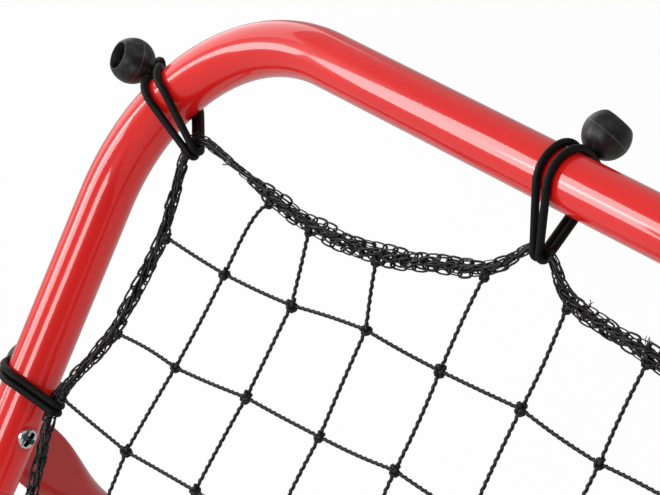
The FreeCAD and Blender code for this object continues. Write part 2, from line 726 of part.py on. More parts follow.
def build():
    os.makedirs("parts", exist_ok=True)
    for node, shape in drill_frame(face_tubes()).items():
        save(node, shape, to_face)
    for node, shape in stand_tubes().items():
        save(node, shape, to_stand)

    for side, word in ((-1, "left"), (1, "right")):
        screw, spacer, nut = pivot_set(side)
        save("pivot_screw_" + word, screw, to_face)
        save("pivot_spacer_" + word, spacer, to_face)
        save("pivot_nut_" + word, nut, to_face)
        save("spreader_strap_" + word, strap(side))

    hardware = [strap_hardware(side) for side in (-1, 1)]
    for k, end in enumerate(("front", "rear")):
        save(end + "_strap_washers", Part.makeCompound([pair[k][0] for pair in hardware]))
        save(end + "_strap_screws", Part.makeCompound([pair[k][1] for pair in hardware]))

    for node, level in (("top_joint_screw", face_height), ("bottom_joint_screw", 0.0)):
        seat = V(joint_screw_offset, tube_r, level)
        save(node, pan_screw(seat, N, strap_head_d, strap_head_h, strap_screw_d, 8.0), to_face)
    seat = V(joint_screw_offset, stand_r, -leg_length)
    save("rear_joint_screw", pan_screw(seat, N, strap_head_d, strap_head_h, strap_screw_d, 8.0), to_stand)

    rear_bar_y = front_bar_y + bars_apart
    for side, word in ((-1, "left"), (1, "right")):
        save("front_pad_" + word, pad(side * front_pad_x, front_bar_y, bar_lift, tube_r))
        save("rear_pad_" + word, pad(side * rear_pad_x, rear_bar_y, stand_lift, stand_r))

    route = rope_route()
    rim = rope_rim(route)
    left, upper, right, lower = ends_on(rim)
    grid = knots(left, upper, right, lower)
    face, gaps = net_face(rim, grid, left, upper, right, lower)
    print("net gaps", gaps)
    net = face.extrude(V(0, twine, 0))
    net.translate(V(0, -twine / 2, 0))
    save("net_mesh", net, to_face)
    rope = faceted_tube([p for p, _ in route], rope_d / 2, 6, closed=True)
    length = sum((route[k][0] - route[k - 1][0]).Length for k in range(len(route)))
    print("border rope length", round(length))
    save("border_rope", rope, to_face)

    for k, tie in enumerate(ties(), 1):
        cord, knob = bungee(tie)
        save("bungee_cord_%02d" % k, cord, to_face)
        save("bungee_ball_%02d" % k, knob, to_face)


build()
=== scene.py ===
import bpy
import bmesh
import math
import random
from mathutils import Matrix, Vector


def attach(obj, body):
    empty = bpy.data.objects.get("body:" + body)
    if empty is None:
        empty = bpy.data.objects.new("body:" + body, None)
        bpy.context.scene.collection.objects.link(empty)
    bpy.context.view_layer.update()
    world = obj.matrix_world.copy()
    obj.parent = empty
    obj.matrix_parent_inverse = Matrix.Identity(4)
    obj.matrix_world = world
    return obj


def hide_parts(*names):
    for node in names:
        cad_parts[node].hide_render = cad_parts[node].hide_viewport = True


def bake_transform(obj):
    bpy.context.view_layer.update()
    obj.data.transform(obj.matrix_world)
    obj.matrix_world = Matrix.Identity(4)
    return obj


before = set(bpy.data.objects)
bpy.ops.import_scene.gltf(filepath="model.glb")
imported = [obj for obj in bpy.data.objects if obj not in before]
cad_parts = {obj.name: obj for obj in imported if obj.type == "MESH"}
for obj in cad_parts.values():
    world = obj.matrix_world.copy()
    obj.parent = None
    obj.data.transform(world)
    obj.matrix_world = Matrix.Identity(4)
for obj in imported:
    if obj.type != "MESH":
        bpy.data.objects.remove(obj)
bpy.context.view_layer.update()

# The face is worked out in its own plane: x across, n square to the net and to the rear,
# s up the posts from the bottom bar's axis. Metres.
face = {
    "width": 1.340,
    "height": 1.035,
    "tubeRadius": 0.016,
    "cornerRadius": 0.131,
    "lean": 28.8,
    "barBack": -0.45391,
    "barLift": 0.023,
    "seamDepth": 0.3105,
    "pivotDepth": 0.2755,
    "columns": 19,
    "rows": 14,
}
halfWidth = face["width"] / 2
faceToPart = (Matrix.Translation((0, face["barBack"], face["barLift"]))
              @ Matrix.Rotation(math.radians(-face["lean"]), 4, "X"))
pivotLevel = face["height"] - face["pivotDepth"]
pivotPoint = faceToPart @ Vector((0, 0, pivotLevel))
toRight, toRear, upward = Vector((1, 0, 0)), Vector((0, 1, 0)), Vector((0, 0, 1))
bothSides = ((-1, "left"), (1, "right"))

stand = {
    "tubeRadius": 0.0127,
    "openAngle": 68.0,
    "barLift": 0.0182,
    "bendRadius": 0.092,
    "postGap": 0.0028,      # spacer and play between post and leg
    "flatEnd": 0.048,
    "roundFrom": 0.115,
    "noseRadius": 0.0186,
}
legTilt = math.radians(stand["openAngle"] - face["lean"])
legLength = (pivotPoint.z - stand["barLift"]) / math.cos(legTilt)
standToPart = Matrix.Translation(pivotPoint) @ Matrix.Rotation(legTilt, 4, "X")


# Finishes

def hexColour(code):
    # sRGB hex to linear.
    parts = [int(code[k:k + 2], 16) / 255 for k in (1, 3, 5)]
    return tuple(c / 12.92 if c <= 0.04045 else ((c + 0.055) / 1.055) ** 2.4 for c in parts) + (1.0,)


def addNode(tree, kind, sockets=None, stops=(), **settings):
    # One node: its settings, a value or a link for each socket, and a ramp's stops. A link comes
    # from a node's first output in use, or from (node, output).
    node = tree.nodes.new(kind)
    for key, value in settings.items():
        setattr(node, key, value)
    for key, given in (sockets or {}).items():
        for source in given if isinstance(given, list) else [given]:
            if isinstance(source, bpy.types.Node):
                source = (source, next(k for k, s in enumerate(source.outputs) if s.enabled))
            if isinstance(source, tuple) and isinstance(source[0], bpy.types.Node):
                tree.links.new(source[0].outputs[source[1]], node.inputs[key])
            else:
                node.inputs[key].default_value = source
    for _ in stops[2:]:
        node.color_ramp.elements.new(0.5)
    for k, (position, code) in enumerate(stops):
        node.color_ramp.elements[k].position = position
        node.color_ramp.elements[k].color = hexColour(code)
    return node


def emptyTree(owner):
    owner.use_nodes = True
    owner.node_tree.nodes.clear()
    return owner.node_tree


def startMaterial(name):
    material = bpy.data.materials.new(name)
    tree = emptyTree(material)
    return material, tree, addNode(tree, "ShaderNodeTexCoord")


def endMaterial(material, colour, height, bump, values):
    # bump is the relief's strength and its depth in metres; values are the same all over.
    tree = material.node_tree
    relief = addNode(tree, "ShaderNodeBump", {"Height": height, "Strength": bump[0], "Distance": bump[1]})
    skin = addNode(tree, "ShaderNodeBsdfPrincipled", {"Base Color": colour, "Normal": relief, **values})
    addNode(tree, "ShaderNodeOutputMaterial", {"Surface": skin})
    return material


def powderCoat(name, dark, pale):
    # Polyester powder coat on steel: a deep red under a clear gloss skin with faint orange peel.
    material, tree, place = startMaterial(name)
    spot = (place, "Object")
    cloud = addNode(tree, "ShaderNodeTexNoise", {"Vector": spot, "Scale": 14.0, "Detail": 3.0})
    tone = addNode(tree, "ShaderNodeValToRGB", {"Fac": cloud}, [(0.30, dark), (0.70, pale)])
    # Orange peel is about 3 mm across; a longer swell of 25 mm makes the highlights' edges waver.
    peel = addNode(tree, "ShaderNodeTexNoise", {"Vector": spot, "Scale": 330.0, "Detail": 1.0})
    swell = addNode(tree, "ShaderNodeTexNoise", {"Vector": spot, "Scale": 38.0, "Detail": 1.0})
    mixed = addNode(tree, "ShaderNodeMath", {0: swell, 1: 2.0, 2: peel}, operation="MULTIPLY_ADD")
    return endMaterial(material, tone, mixed, (0.2, 0.00004), {
        "Roughness": 0.28, "IOR": 1.5, "Specular IOR Level": 0.25,
        "Coat Weight": 1.0, "Coat Roughness": 0.035, "Coat IOR": 1.5})


def zincPlate():
    # Bright zinc plate on steel: cool grey metal with a faint bluish mottle. The map's u is 1 in
    # a cross recess, whose colour is darkened there as painted shade.
    material, tree, place = startMaterial("brightZincPlate")
    mottle = addNode(tree, "ShaderNodeTexNoise", {"Vector": (place, "Object"), "Scale": 420.0, "Detail": 3.0})
    tone = addNode(tree, "ShaderNodeValToRGB", {"Fac": mottle}, [(0.35, "#D3DBE0"), (0.65, "#FAFBFC")])
    parts = addNode(tree, "ShaderNodeSeparateXYZ", {"Vector": (place, "UV")})
    # Painted shade: where u is 1, in the recess, the zinc's colour is darkened.
    shade = addNode(tree, "ShaderNodeValToRGB", {"Fac": (parts, "X")}, [(0.2, "#FFFFFF"), (0.8, "#5A6468")])
    plate = addNode(tree, "ShaderNodeVectorMath", {0: tone, 1: shade}, operation="MULTIPLY")
    return endMaterial(material, plate, mottle, (0.25, 0.00003), {"Metallic": 1.0, "Roughness": 0.20})


def twinePlastic(name, dark, pale, roughness):
    # Twisted polyethylene yarn: near black, with a waxy glint on the strands.
    material, tree, place = startMaterial(name)
    fibre = addNode(tree, "ShaderNodeTexNoise", {"Vector": (place, "Object"), "Scale": 900.0, "Detail": 2.0})
    tone = addNode(tree, "ShaderNodeValToRGB", {"Fac": fibre}, [(0.35, dark), (0.70, pale)])
    return endMaterial(material, tone, fibre, (0.4, 0.0002), {
        "Roughness": roughness, "IOR": 1.51, "Specular IOR Level": 0.34})


def braidedSleeve():
    # Polyester braid over a rubber core, drawn at its real size: the plait repeats in 2.2 mm, with
    # eight picks round the cord. The map's u is metres along the cord, v is once round.
    pitch, picks = 0.0022, 8
    material, tree, place = startMaterial("braidedPolyesterSleeve")
    parts = addNode(tree, "ShaderNodeSeparateXYZ", {"Vector": (place, "UV")})
    along = addNode(tree, "ShaderNodeMath", {0: (parts, "X"), 1: 2 * math.pi / pitch}, operation="MULTIPLY")
    waves = []
    for turn in (1.0, -1.0):
        wound = addNode(tree, "ShaderNodeMath", {0: (parts, "Y"), 1: turn * picks * math.pi, 2: along},
                        operation="MULTIPLY_ADD")
        waves.append(addNode(tree, "ShaderNodeMath", {0: wound}, operation="SINE"))
    plait = addNode(tree, "ShaderNodeMath", {0: waves[0], 1: waves[1]}, operation="MULTIPLY")
    tone = addNode(tree, "ShaderNodeMapRange", {"Value": plait, "From Min": -1.0, "From Max": 1.0})
    colour = addNode(tree, "ShaderNodeValToRGB", {"Fac": tone}, [(0.2, "#030303"), (0.9, "#0E0E0E")])
    return endMaterial(material, colour, plait, (0.5, 0.00012), {
        "Roughness": 0.5, "IOR": 1.5, "Specular IOR Level": 0.22})


def mouldedPlastic(name, dark, pale, roughness, grain):
    # Injection-moulded plastic straight from the tool: satin, finely grained, a little scuffed.
    material, tree, place = startMaterial(name)
    spot = (place, "Object")
    texture = addNode(tree, "ShaderNodeTexNoise", {"Vector": spot, "Scale": grain, "Detail": 4.0})
    scuff = addNode(tree, "ShaderNodeTexNoise", {"Vector": spot, "Scale": 170.0, "Detail": 5.0})
    tone = addNode(tree, "ShaderNodeValToRGB", {"Fac": scuff},
                   [(0.45, dark), (0.62, pale), (0.72, "#454547")])
    # A rubbed parting line where the map's u is 1.
    parts = addNode(tree, "ShaderNodeSeparateXYZ", {"Vector": (place, "UV")})
    seam = addNode(tree, "ShaderNodeMath", {0: (parts, "X"), 1: 1.0, 2: 0.00028}, operation="COMPARE")
    rubbed = addNode(tree, "ShaderNodeMath", {0: seam, 1: scuff}, operation="MULTIPLY")
    line = addNode(tree, "ShaderNodeVectorMath", {0: (0.11, 0.11, 0.113), "Scale": rubbed}, operation="SCALE")
    skin = addNode(tree, "ShaderNodeVectorMath", {0: tone, 1: line}, operation="ADD")
    return endMaterial(material, skin, texture, (0.3, 0.00006), {"Roughness": roughness, "IOR": 1.46})


def wovenWebbing():
    # Polypropylene webbing, 25 mm wide, drawn at its real size: coarse yarns 2.1 mm apart in a
    # chevron of four bands, each 6.25 mm wide. The map is metres along and across.
    pitch, band = 0.0021, 0.00625
    material, tree, place = startMaterial("wovenPolypropyleneWebbing")
    parts = addNode(tree, "ShaderNodeSeparateXYZ", {"Vector": (place, "UV")})
    width = addNode(tree, "ShaderNodeMath", {0: (parts, "Y"), 1: band}, operation="PINGPONG")
    slope = addNode(tree, "ShaderNodeMath", {0: (parts, "X"), 1: width}, operation="ADD")
    wave = addNode(tree, "ShaderNodeMath", {0: slope, 1: 2 * math.pi / pitch}, operation="MULTIPLY")
    yarn = addNode(tree, "ShaderNodeMath", {0: wave}, operation="SINE")
    tone = addNode(tree, "ShaderNodeMapRange", {"Value": yarn, "From Min": -1.0, "From Max": 1.0})
    colour = addNode(tree, "ShaderNodeValToRGB", {"Fac": tone}, [(0.2, "#0B0B0C"), (0.85, "#202021")])
    return endMaterial(material, colour, yarn, (0.6, 0.0002), {
        "Roughness": 0.7, "IOR": 1.49, "Sheen Weight": 0.15})


redCoat = powderCoat("polyesterPowderCoatRed", "#D81816", "#E01D1A")
# The legs wear the same red paint as the frame, darkened here as painted shade.
shadedLegCoat = powderCoat("polyesterPowderCoatRedPaintedShade", "#B21210", "#BC1614")
zinc = zincPlate()
netTwine = twinePlastic("twistedPolyethyleneTwine", "#080809", "#222224", 0.42)
ropeYarn = twinePlastic("knittedPolyethyleneYarn", "#050506", "#19191A", 0.30)
cordSleeve = braidedSleeve()
ballPlastic = mouldedPlastic("mouldedPolypropylene", "#161617", "#2B2B2D", 0.40, 2400.0)
spacerNylon = mouldedPlastic("mouldedNylon", "#101011", "#1E1E1F", 0.45, 1800.0)
padRubber = mouldedPlastic("mouldedRubber", "#141414", "#262625", 0.68, 1500.0)
webbing = wovenWebbing()
print("finishes made")


# Mesh helpers

def finishPiece(obj, body, node):
    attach(obj, body)
    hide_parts(node)


def addObject(name, data):
    obj = bpy.data.objects.new(name, data)
    bpy.context.scene.collection.objects.link(obj)
    return obj


def makePiece(name, verts, faces, material, matrix=None, uvs=None, flat=False):
    # A mesh object at the origin; matrix carries the points to the part's frame.
    mesh = bpy.data.meshes.new(name)
    mesh.from_pydata([tuple(matrix @ Vector(v)) if matrix else tuple(v) for v in verts], [], faces)
    if uvs:
        layer = mesh.uv_layers.new(name="UVMap")
        for loop in mesh.loops:
            layer.data[loop.index].uv = uvs[loop.vertex_index]
    mesh.validate()
    mesh.polygons.foreach_set("use_smooth", [not flat] * len(mesh.polygons))
    mesh.materials.append(material)
    return addObject(name, mesh)


def meshOf(obj):
    # A plain mesh of the object with its modifiers run.
    bpy.context.view_layer.update()
    return bpy.data.meshes.new_from_object(obj.evaluated_get(bpy.context.evaluated_depsgraph_get()))


def placeAlong(centre, axis):
    # Carries Z to the axis, and the origin to the centre.
    return Matrix.Translation(centre) @ upward.rotation_difference(axis).to_matrix().to_4x4()


def joinParts(parts):
    # Several (verts, faces, uvs) lists as one.
    verts, faces, uvs = [], [], []
    for partVerts, partFaces, partUvs in parts:
        start = len(verts)
        verts += partVerts
        faces += [tuple(start + k for k in f) for f in partFaces]
        uvs += partUvs
    return verts, faces, uvs


def ringAt(centre, across, other, radius, sides, start=0.0):
    # A circle of points in the plane of two directions.
    turns = [2 * math.pi * (m + start) / sides for m in range(sides)]
    return [centre + radius * (math.cos(a) * across + math.sin(a) * other) for a in turns]


def latheRings(outline, sides):
    # Rings of (radius, height) about +Z.
    return [ringAt(Vector((0, 0, z)), toRight, toRear, r, sides) for r, z in outline]


def bridgeRings(rings, closed=False, capped=True, turned=False):
    # Quads between equal rings of points, with a polygon at each end; turned faces look back.
    verts = [p for ring in rings for p in ring]
    size = len(rings[0])
    faces = []
    for k in range(len(rings) if closed else len(rings) - 1):
        a, b = k * size, ((k + 1) % len(rings)) * size
        for m in range(size):
            n = (m + 1) % size
            faces.append((a + m, a + n, b + n, b + m))
    if capped and not closed:
        faces.append(tuple(reversed(range(size))))
        faces.append(tuple(range((len(rings) - 1) * size, len(rings) * size)))
    return verts, [f[::-1] for f in faces] if turned else faces


def smoothLine(points, step, closed=False):
    # A Catmull-Rom line through the points, sampled about every step metres.
    count = len(points)
    line = []
    for k in range(count if closed else count - 1):
        if closed:
            p0, p1, p2, p3 = (points[(k + m) % count] for m in (-1, 0, 1, 2))
        else:
            p0, p1 = points[max(k - 1, 0)], points[k]
            p2, p3 = points[k + 1], points[min(k + 2, count - 1)]
        pieces = max(1, round((p2 - p1).length / step))
        for m in range(pieces):
            t = m / pieces
            line.append(0.5 * (2 * p1 + (p2 - p0) * t + (2 * p0 - 5 * p1 + 4 * p2 - p3) * t * t
                               + (3 * p1 - p0 - 3 * p2 + p3) * t * t * t))
    if not closed:
        line.append(points[-1].copy())
    return line


def sweepLine(line, radius, sides, closed=False):
    # A round cord along a line, with its map: metres along, once round.
    count = len(line)
    runs = []
    for k in range(count):
        before = line[k - 1] if (k or closed) else line[k]
        after = line[(k + 1) % count] if (k < count - 1 or closed) else line[k]
        runs.append((after - before).normalized())
    across = runs[0].orthogonal().normalized()
    rings, uvs, travelled = [], [], 0.0
    for k in range(count):
        if k:
            travelled += (line[k] - line[k - 1]).length
            across = runs[k - 1].rotation_difference(runs[k]) @ across
        rings.append(ringAt(line[k], across, runs[k].cross(across), radius, sides))
        uvs += [(travelled, m / sides) for m in range(sides)]
    return (*bridgeRings(rings, closed=closed), uvs)


def overhand(count, wide, swing, lift):
    # The closed line of an overhand knot, wound about Z.
    line = []
    for k in range(count):
        t = 2 * math.pi * k / count
        reach = wide + swing * math.cos(3 * t)
        line.append(Vector((reach * math.cos(2 * t), reach * math.sin(2 * t), lift * math.sin(3 * t))))
    return line


# Camera: to the right of the upper left corner and above it, looking down through a long lens

camera = {
    "place": (1.08641, -1.17966, 1.77356),
    "aim": (-0.57219, 0.07003, 0.79636),
    "roll": 0.05,
    "sensor": 36.0,
    "lens": 218.18,
}
cameraData = bpy.data.cameras.new("camera")
cameraData.sensor_width = camera["sensor"]
cameraData.lens = camera["lens"]
cameraData.clip_start = 0.05
cameraObject = addObject("camera", cameraData)
cameraObject.location = camera["place"]
sight = (Vector(camera["aim"]) - Vector(camera["place"])).to_track_quat("-Z", "Y")
cameraObject.rotation_mode = "QUATERNION"
cameraObject.rotation_quaternion = sight @ Matrix.Rotation(
    math.radians(-camera["roll"]), 3, "Z").to_quaternion()
bpy.context.scene.camera = cameraObject
print("camera set")


# Frame tubes: each is swept from the seam in its post, round the bend, to the middle of its bar

frameTube = {
    "sides": 96,
    "bendStep": 2.0,        # degrees of bend between rings
    # Rings of a tube's two kinds of end: how far inside its radius, and how far from its end
    "socket": [(0.0026, 0.022), (0.0015, 0.022), (0.0015, 0.0005), (0.0011, 0.00012),
               (0.0004, 0.00012), (0.0, 0.0005)],
    "neck": [(0.0028, -0.0215), (0.0018, -0.0205), (0.0018, -0.0010), (0.0007, -0.0002),
             (0.0001, 0.0006), (0.0, 0.0016)],
    "plainFrom": 0.002,
    "seatRows": 14,         # rings a millimetre apart, above and below the pivot
    "seatReach": 0.0071,    # the flat pressed under the screw's head
    "seatFade": 0.0035,
    "seatDepth": 0.0009,
}


def pressSeat(point, side):
    # Flatten the post's inner side under the pivot screw's head.
    away = math.hypot(point.y, point.z - pivotLevel)
    reach, fade = frameTube["seatReach"], frameTube["seatFade"]
    if away > reach + fade or (point.x - side * halfWidth) * side > 0:
        return point
    flat = side * (halfWidth - face["tubeRadius"] + frameTube["seatDepth"])
    share = min(1.0, (reach + fade - away) / fade)
    share = share * share * (3 - 2 * share)
    if (point.x - flat) * side < 0:
        point.x += (flat - point.x) * share
    return point


def frameTubePiece(level, side, word):
    r, bend = face["tubeRadius"], face["cornerRadius"]
    upper = level == "upper"
    up, barLevel = (1, face["height"]) if upper else (-1, 0.0)
    seam = face["height"] - face["seamDepth"]
    # Centre, direction and radius of each ring
    stations = [(Vector((side * halfWidth, 0, seam + up * depth)), upward * up, r - inside)
                for inside, depth in frameTube["socket" if upper else "neck"]]
    levels = [barLevel - up * bend]
    if upper:
        rows = range(-frameTube["seatRows"], frameTube["seatRows"] + 1)
        levels = [seam + frameTube["plainFrom"]] + [pivotLevel + 0.001 * k for k in rows] + levels
    stations += [(Vector((side * halfWidth, 0, z)), upward * up, r) for z in levels]
    centre = Vector((side * (halfWidth - bend), 0, barLevel - up * bend))
    turns = round(90 / frameTube["bendStep"])
    for k in range(1, turns + 1):
        a = math.radians(90 * k / turns)
        place = centre + Vector((side * bend * math.cos(a), 0, up * bend * math.sin(a)))
        stations.append((place, Vector((-side * math.sin(a), 0, up * math.cos(a))), r))
    for inside, depth in reversed(frameTube["neck" if side < 0 else "socket"]):
        stations.append((Vector((side * depth, 0, barLevel)), Vector((-side, 0, 0)), r - inside))
    rings = []
    for centre, direction, radius in stations:
        ring = ringAt(centre, toRear, direction.cross(toRear), radius, frameTube["sides"])
        rings.append([pressSeat(p, side) for p in ring] if upper else ring)
    piece = makePiece(level + "Tube" + word.capitalize(), *bridgeRings(rings), redCoat, faceToPart)
    finishPiece(piece, "front_frame", level + "_" + word + "_tube")


for side, word in bothSides:
    frameTubePiece("upper", side, word)
    frameTubePiece("lower", side, word)
print("frame tubes swept")


# Rear stand: each leg starts as a pressed blade and swells to a round tube

legTube = {
    "sides": 64,
    "bendStep": 3.0,
    "bladeHalf": 0.0015,
    "bladeGap": 0.0001,
    "bladeTop": -0.006,     # below the pivot; the blade has its full width from here down
    "noseRings": 16,
    "noseLeast": 0.12,      # width of the nose's tip, as a share of the blade's
    "swellRings": 26,
    # As for the frame's tubes, from the plain tube to its end
    "socket": [(0.0, 0.0005), (0.0004, 0.00012), (0.0011, 0.00012), (0.0015, 0.0005),
               (0.0015, 0.02), (0.0026, 0.02)],
    "neck": [(0.0, 0.0014), (0.0001, 0.0006), (0.0008, -0.0002), (0.0018, -0.001), (0.0018, -0.02)],
}


def pressedRing(halfThick, x, z, shorten=1.0):
    # The stadium of a pressed tube: two flats joined by half circles; the girth stays the same.
    reach = (halfThick + math.pi / 2 * (stand["tubeRadius"] - halfThick)) * shorten
    ring = []
    for m in range(legTube["sides"]):
        a = 2 * math.pi * (m + 0.5) / legTube["sides"]
        flat = reach - halfThick if math.sin(a) > 0 else halfThick - reach
        ring.append(Vector((x + halfThick * math.cos(a), halfThick * math.sin(a) + flat, z)))
    return ring


def rearLeg(side, word):
    # Drawn for the right side, from the nose down; the left leg is its mirror image.
    r, nose, blade = stand["tubeRadius"], stand["noseRadius"], legTube["bladeHalf"]
    inner = halfWidth + face["tubeRadius"] + stand["postGap"]
    widest = blade + math.pi / 2 * (r - blade)
    bladeInner = inner + legTube["bladeGap"]
    rings = []
    for k in range(1, legTube["noseRings"] + 1):
        a = math.pi / 2 * (1 - k / (legTube["noseRings"] + 1))
        share = max(legTube["noseLeast"], min(1.0, nose * math.cos(a) / widest))
        rings.append(pressedRing(blade, bladeInner + blade, nose * math.sin(a), share))
    rings.append(pressedRing(blade, bladeInner + blade, legTube["bladeTop"]))
    for k in range(legTube["swellRings"] + 1):
        t = k / legTube["swellRings"]
        half = blade + t * t * (3 - 2 * t) * (r - blade)
        z = -(stand["flatEnd"] + t * (stand["roundFrom"] - stand["flatEnd"]))
        rings.append(pressedRing(half, bladeInner + half, z))
    bend = stand["bendRadius"]
    for k in range(round(90 / legTube["bendStep"]) + 1):
        a = math.radians(legTube["bendStep"] * k)
        outward = Vector((math.cos(a), 0, -math.sin(a)))
        centre = Vector((inner + r - bend, 0, -legLength + bend)) + bend * outward
        rings.append(ringAt(centre, outward, toRear, r, legTube["sides"], 0.5))
    for inside, depth in legTube["neck" if side < 0 else "socket"]:
        rings.append(ringAt(Vector((depth, 0, -legLength)), -upward, toRear, r - inside,
                            legTube["sides"], 0.5))
    verts, faces = bridgeRings(rings, turned=side > 0)
    verts = [Vector((side * v.x, v.y, v.z)) for v in verts]
    # The leg takes the red paint with painted shade.
    piece = makePiece("rearLeg" + word.capitalize(), verts, faces, shadedLegCoat, standToPart)
    finishPiece(piece, "rear_stand", "rear_leg_" + word)


for side, word in bothSides:
    rearLeg(side, word)
print("rear stand swept")


# Border rope's line and the net's knots, as the net hangs taut in the face. Places are in
# millimetres from the upper left corner, and hold for all four.

netPlan = {
    "ropeEdge": 0.004,
    "tieFlat": 8,           # the rope runs straight this far to each side of a tie
    "sideRun": [(40, 487), (48, 427), (49, 366), (39, 303)],
    "sideTie": (28, 251),
    "shoulderRun": [(51, 193), (58, 132)],
    "cornerTie": (54.5, 80.3),
    "crownRun": [(131, 82), (169, 85), (226, 81), (304, 60)],
    "barTie": (337, 39),
    "barRun": [(370, 54), (434, 59), (491, 62), (551, 61), (611, 57)],
    "cornerKnots": [
        [(119, 133), (179, 129), (240, 120), (303, 119), (367, 115), (431, 119)],
        [(111, 193), (174, 186), (239, 183), (301, 177)],
        [(100, 249), (165, 246)],
    ],
    "ropePull": 1.2,
    "rounds": 300,
    "slackTwines": {((0, 1), (1, 1)): (-0.0056, 0.36), ((2, 0), (2, 1)): (0.0004, 0.5),
                    ((3, 0), (3, 1)): (0.0004, 0.5)},     # bow and where it is deepest
    "bands": [(0, 3), (4, 7), (8, 11), (12, face["rows"] + 1)],     # rows in each piece of net
}


def fromCorner(point, flipX=False, flipS=False):
    # A place in the plan, carried to one of the four corners.
    x, s = -halfWidth + point[0] / 1000, face["height"] - point[1] / 1000
    return Vector((-x if flipX else x, 0, face["height"] - s if flipS else s))


def quarterRope():
    # The rope's points from mid post to mid bar, and whether a twine ends there.
    flat, centre = netPlan["tieFlat"], face["cornerRadius"] * 1000
    side, corner, bar = netPlan["sideTie"], netPlan["cornerTie"], netPlan["barTie"]
    dx, dd = corner[0] - centre, corner[1] - centre
    tx, td = -dd / math.hypot(dx, dd) * flat, dx / math.hypot(dx, dd) * flat
    runs = [
        ([(side[0], face["height"] * 500 - flat)], False),
        (netPlan["sideRun"], True),
        ([(side[0], side[1] + flat)], False),
        ([(side[0], side[1] - flat)] + netPlan["shoulderRun"], True),
        ([(corner[0] - tx, corner[1] - td), (corner[0] + tx, corner[1] + td)], False),
        (netPlan["crownRun"], True),
        ([(bar[0] - flat, bar[1]), (bar[0] + flat, bar[1])], False),
        (netPlan["barRun"], True),
        ([(halfWidth * 1000 - flat, bar[1])], False),
    ]
    return [(p, ends) for points, ends in runs for p in points]


def ropeRoute():
    route = []
    for flipX, flipS in ((False, False), (True, False), (True, True), (False, True)):
        run = [(fromCorner(p, flipX, flipS), ends) for p, ends in quarterRope()]
        if flipX == flipS:
            run[-1] = (run[-1][0], True)
        else:
            run.reverse()
        route += run
    return route


def ropeRim(route):
    # Where the twines meet the rope.
    rim = []
    for k, (here, ends) in enumerate(route):
        before, after = route[k - 1][0], route[(k + 1) % len(route)][0]
        d1, d2 = (here - before).normalized(), (after - here).normalized()
        n1, n2 = Vector((d1.z, 0, -d1.x)), Vector((d2.z, 0, -d2.x))
        middle = n1 + n2
        rim.append((here + middle * (netPlan["ropeEdge"] / middle.dot(n1)), ends))
    return rim


def settleKnots(rim):
    # Every knot settles midway between its neighbours; the measured ones stay.
    rows, columns = face["rows"], face["columns"]
    ends = [p for p, isEnd in rim if isEnd]
    order = ends[-(rows // 2):] + ends[:-(rows // 2)]
    left, upper = order[:rows][::-1], order[rows:rows + columns]
    right, lower = order[rows + columns:2 * rows + columns], order[2 * rows + columns:][::-1]
    grid = [[None] * (columns + 2) for _ in range(rows + 2)]
    for j in range(columns):
        grid[0][j + 1], grid[rows + 1][j + 1] = upper[j], lower[j]
    for i in range(rows):
        grid[i + 1][0], grid[i + 1][columns + 1] = left[i], right[i]
        share = (i + 1) / (rows + 1)
        for j in range(columns):
            grid[i + 1][j + 1] = upper[j] * (1 - share) + lower[j] * share
    held = set()
    for i, row in enumerate(netPlan["cornerKnots"], 1):
        for j, point in enumerate(row, 1):
            for flipX, flipS in ((False, False), (True, False), (False, True), (True, True)):
                a = rows + 1 - i if flipS else i
                b = columns + 1 - j if flipX else j
                grid[a][b] = fromCorner(point, flipX, flipS)
                held.add((a, b))
    free = [(i, j) for i in range(1, rows + 1) for j in range(1, columns + 1) if (i, j) not in held]
    for _ in range(netPlan["rounds"]):
        for i, j in free:
            total, pull = Vector((0, 0, 0)), 0.0
            for a, b in ((i - 1, j), (i + 1, j), (i, j - 1), (i, j + 1)):
                share = netPlan["ropePull"] if a in (0, rows + 1) or b in (0, columns + 1) else 1.0
                total += grid[a][b] * share
                pull += share
            grid[i][j] = total / pull
    return grid


ropeLine = ropeRoute()
knotGrid = settleKnots(ropeRim(ropeLine))
print("net laid out")


# Geometry Nodes helpers

def startTree(name, sizes):
    # A modifier's tree. Its inputs are the named sizes, the shape to repeat, a seed and a material.
    tree = bpy.data.node_groups.new(name, "GeometryNodeTree")
    kinds = {"Geometry": "Geometry", **{size: "Float" for size in sizes},
             "shape": "Object", "seed": "Int", "material": "Material"}
    inputs = {}
    for label, kind in kinds.items():
        socket = tree.interface.new_socket(label, in_out="INPUT", socket_type="NodeSocket" + kind)
        inputs[label] = socket.identifier
    tree.interface.new_socket("Geometry", in_out="OUTPUT", socket_type="NodeSocketGeometry")
    return tree, tree.nodes.new("NodeGroupInput"), inputs


def endTree(tree, given, parts):
    # Real meshes with the material, as the export needs them.
    joined = addNode(tree, "GeometryNodeJoinGeometry", {"Geometry": parts})
    real = addNode(tree, "GeometryNodeRealizeInstances", {"Geometry": joined})
    shade = addNode(tree, "GeometryNodeSetShadeSmooth", {"Geometry": real})
    dressed = addNode(tree, "GeometryNodeSetMaterial", {"Geometry": shade, "Material": (given, "material")})
    addNode(tree, "NodeGroupOutput", {"Geometry": dressed})


def bakeTree(name, source, tree, inputs, sizes, shape, seed, material):
    # Runs the tree on an object in the face's plane; a plain mesh in the part's frame takes its place.
    modifier = source.modifiers.new(name, "NODES")
    modifier.node_group = tree
    for label, value in {**sizes, "shape": shape, "seed": seed, "material": material}.items():
        if label in inputs:
            modifier[inputs[label]] = value
    mesh = meshOf(source)
    mesh.name = name
    source.modifiers.remove(modifier)
    bpy.data.objects.remove(source)
    mesh.materials.clear()
    mesh.materials.append(material)
    mesh.transform(faceToPart)
    return addObject(name, mesh)


# Net: three-lobed twine twisted along every side of the mesh, with a knot at every crossing

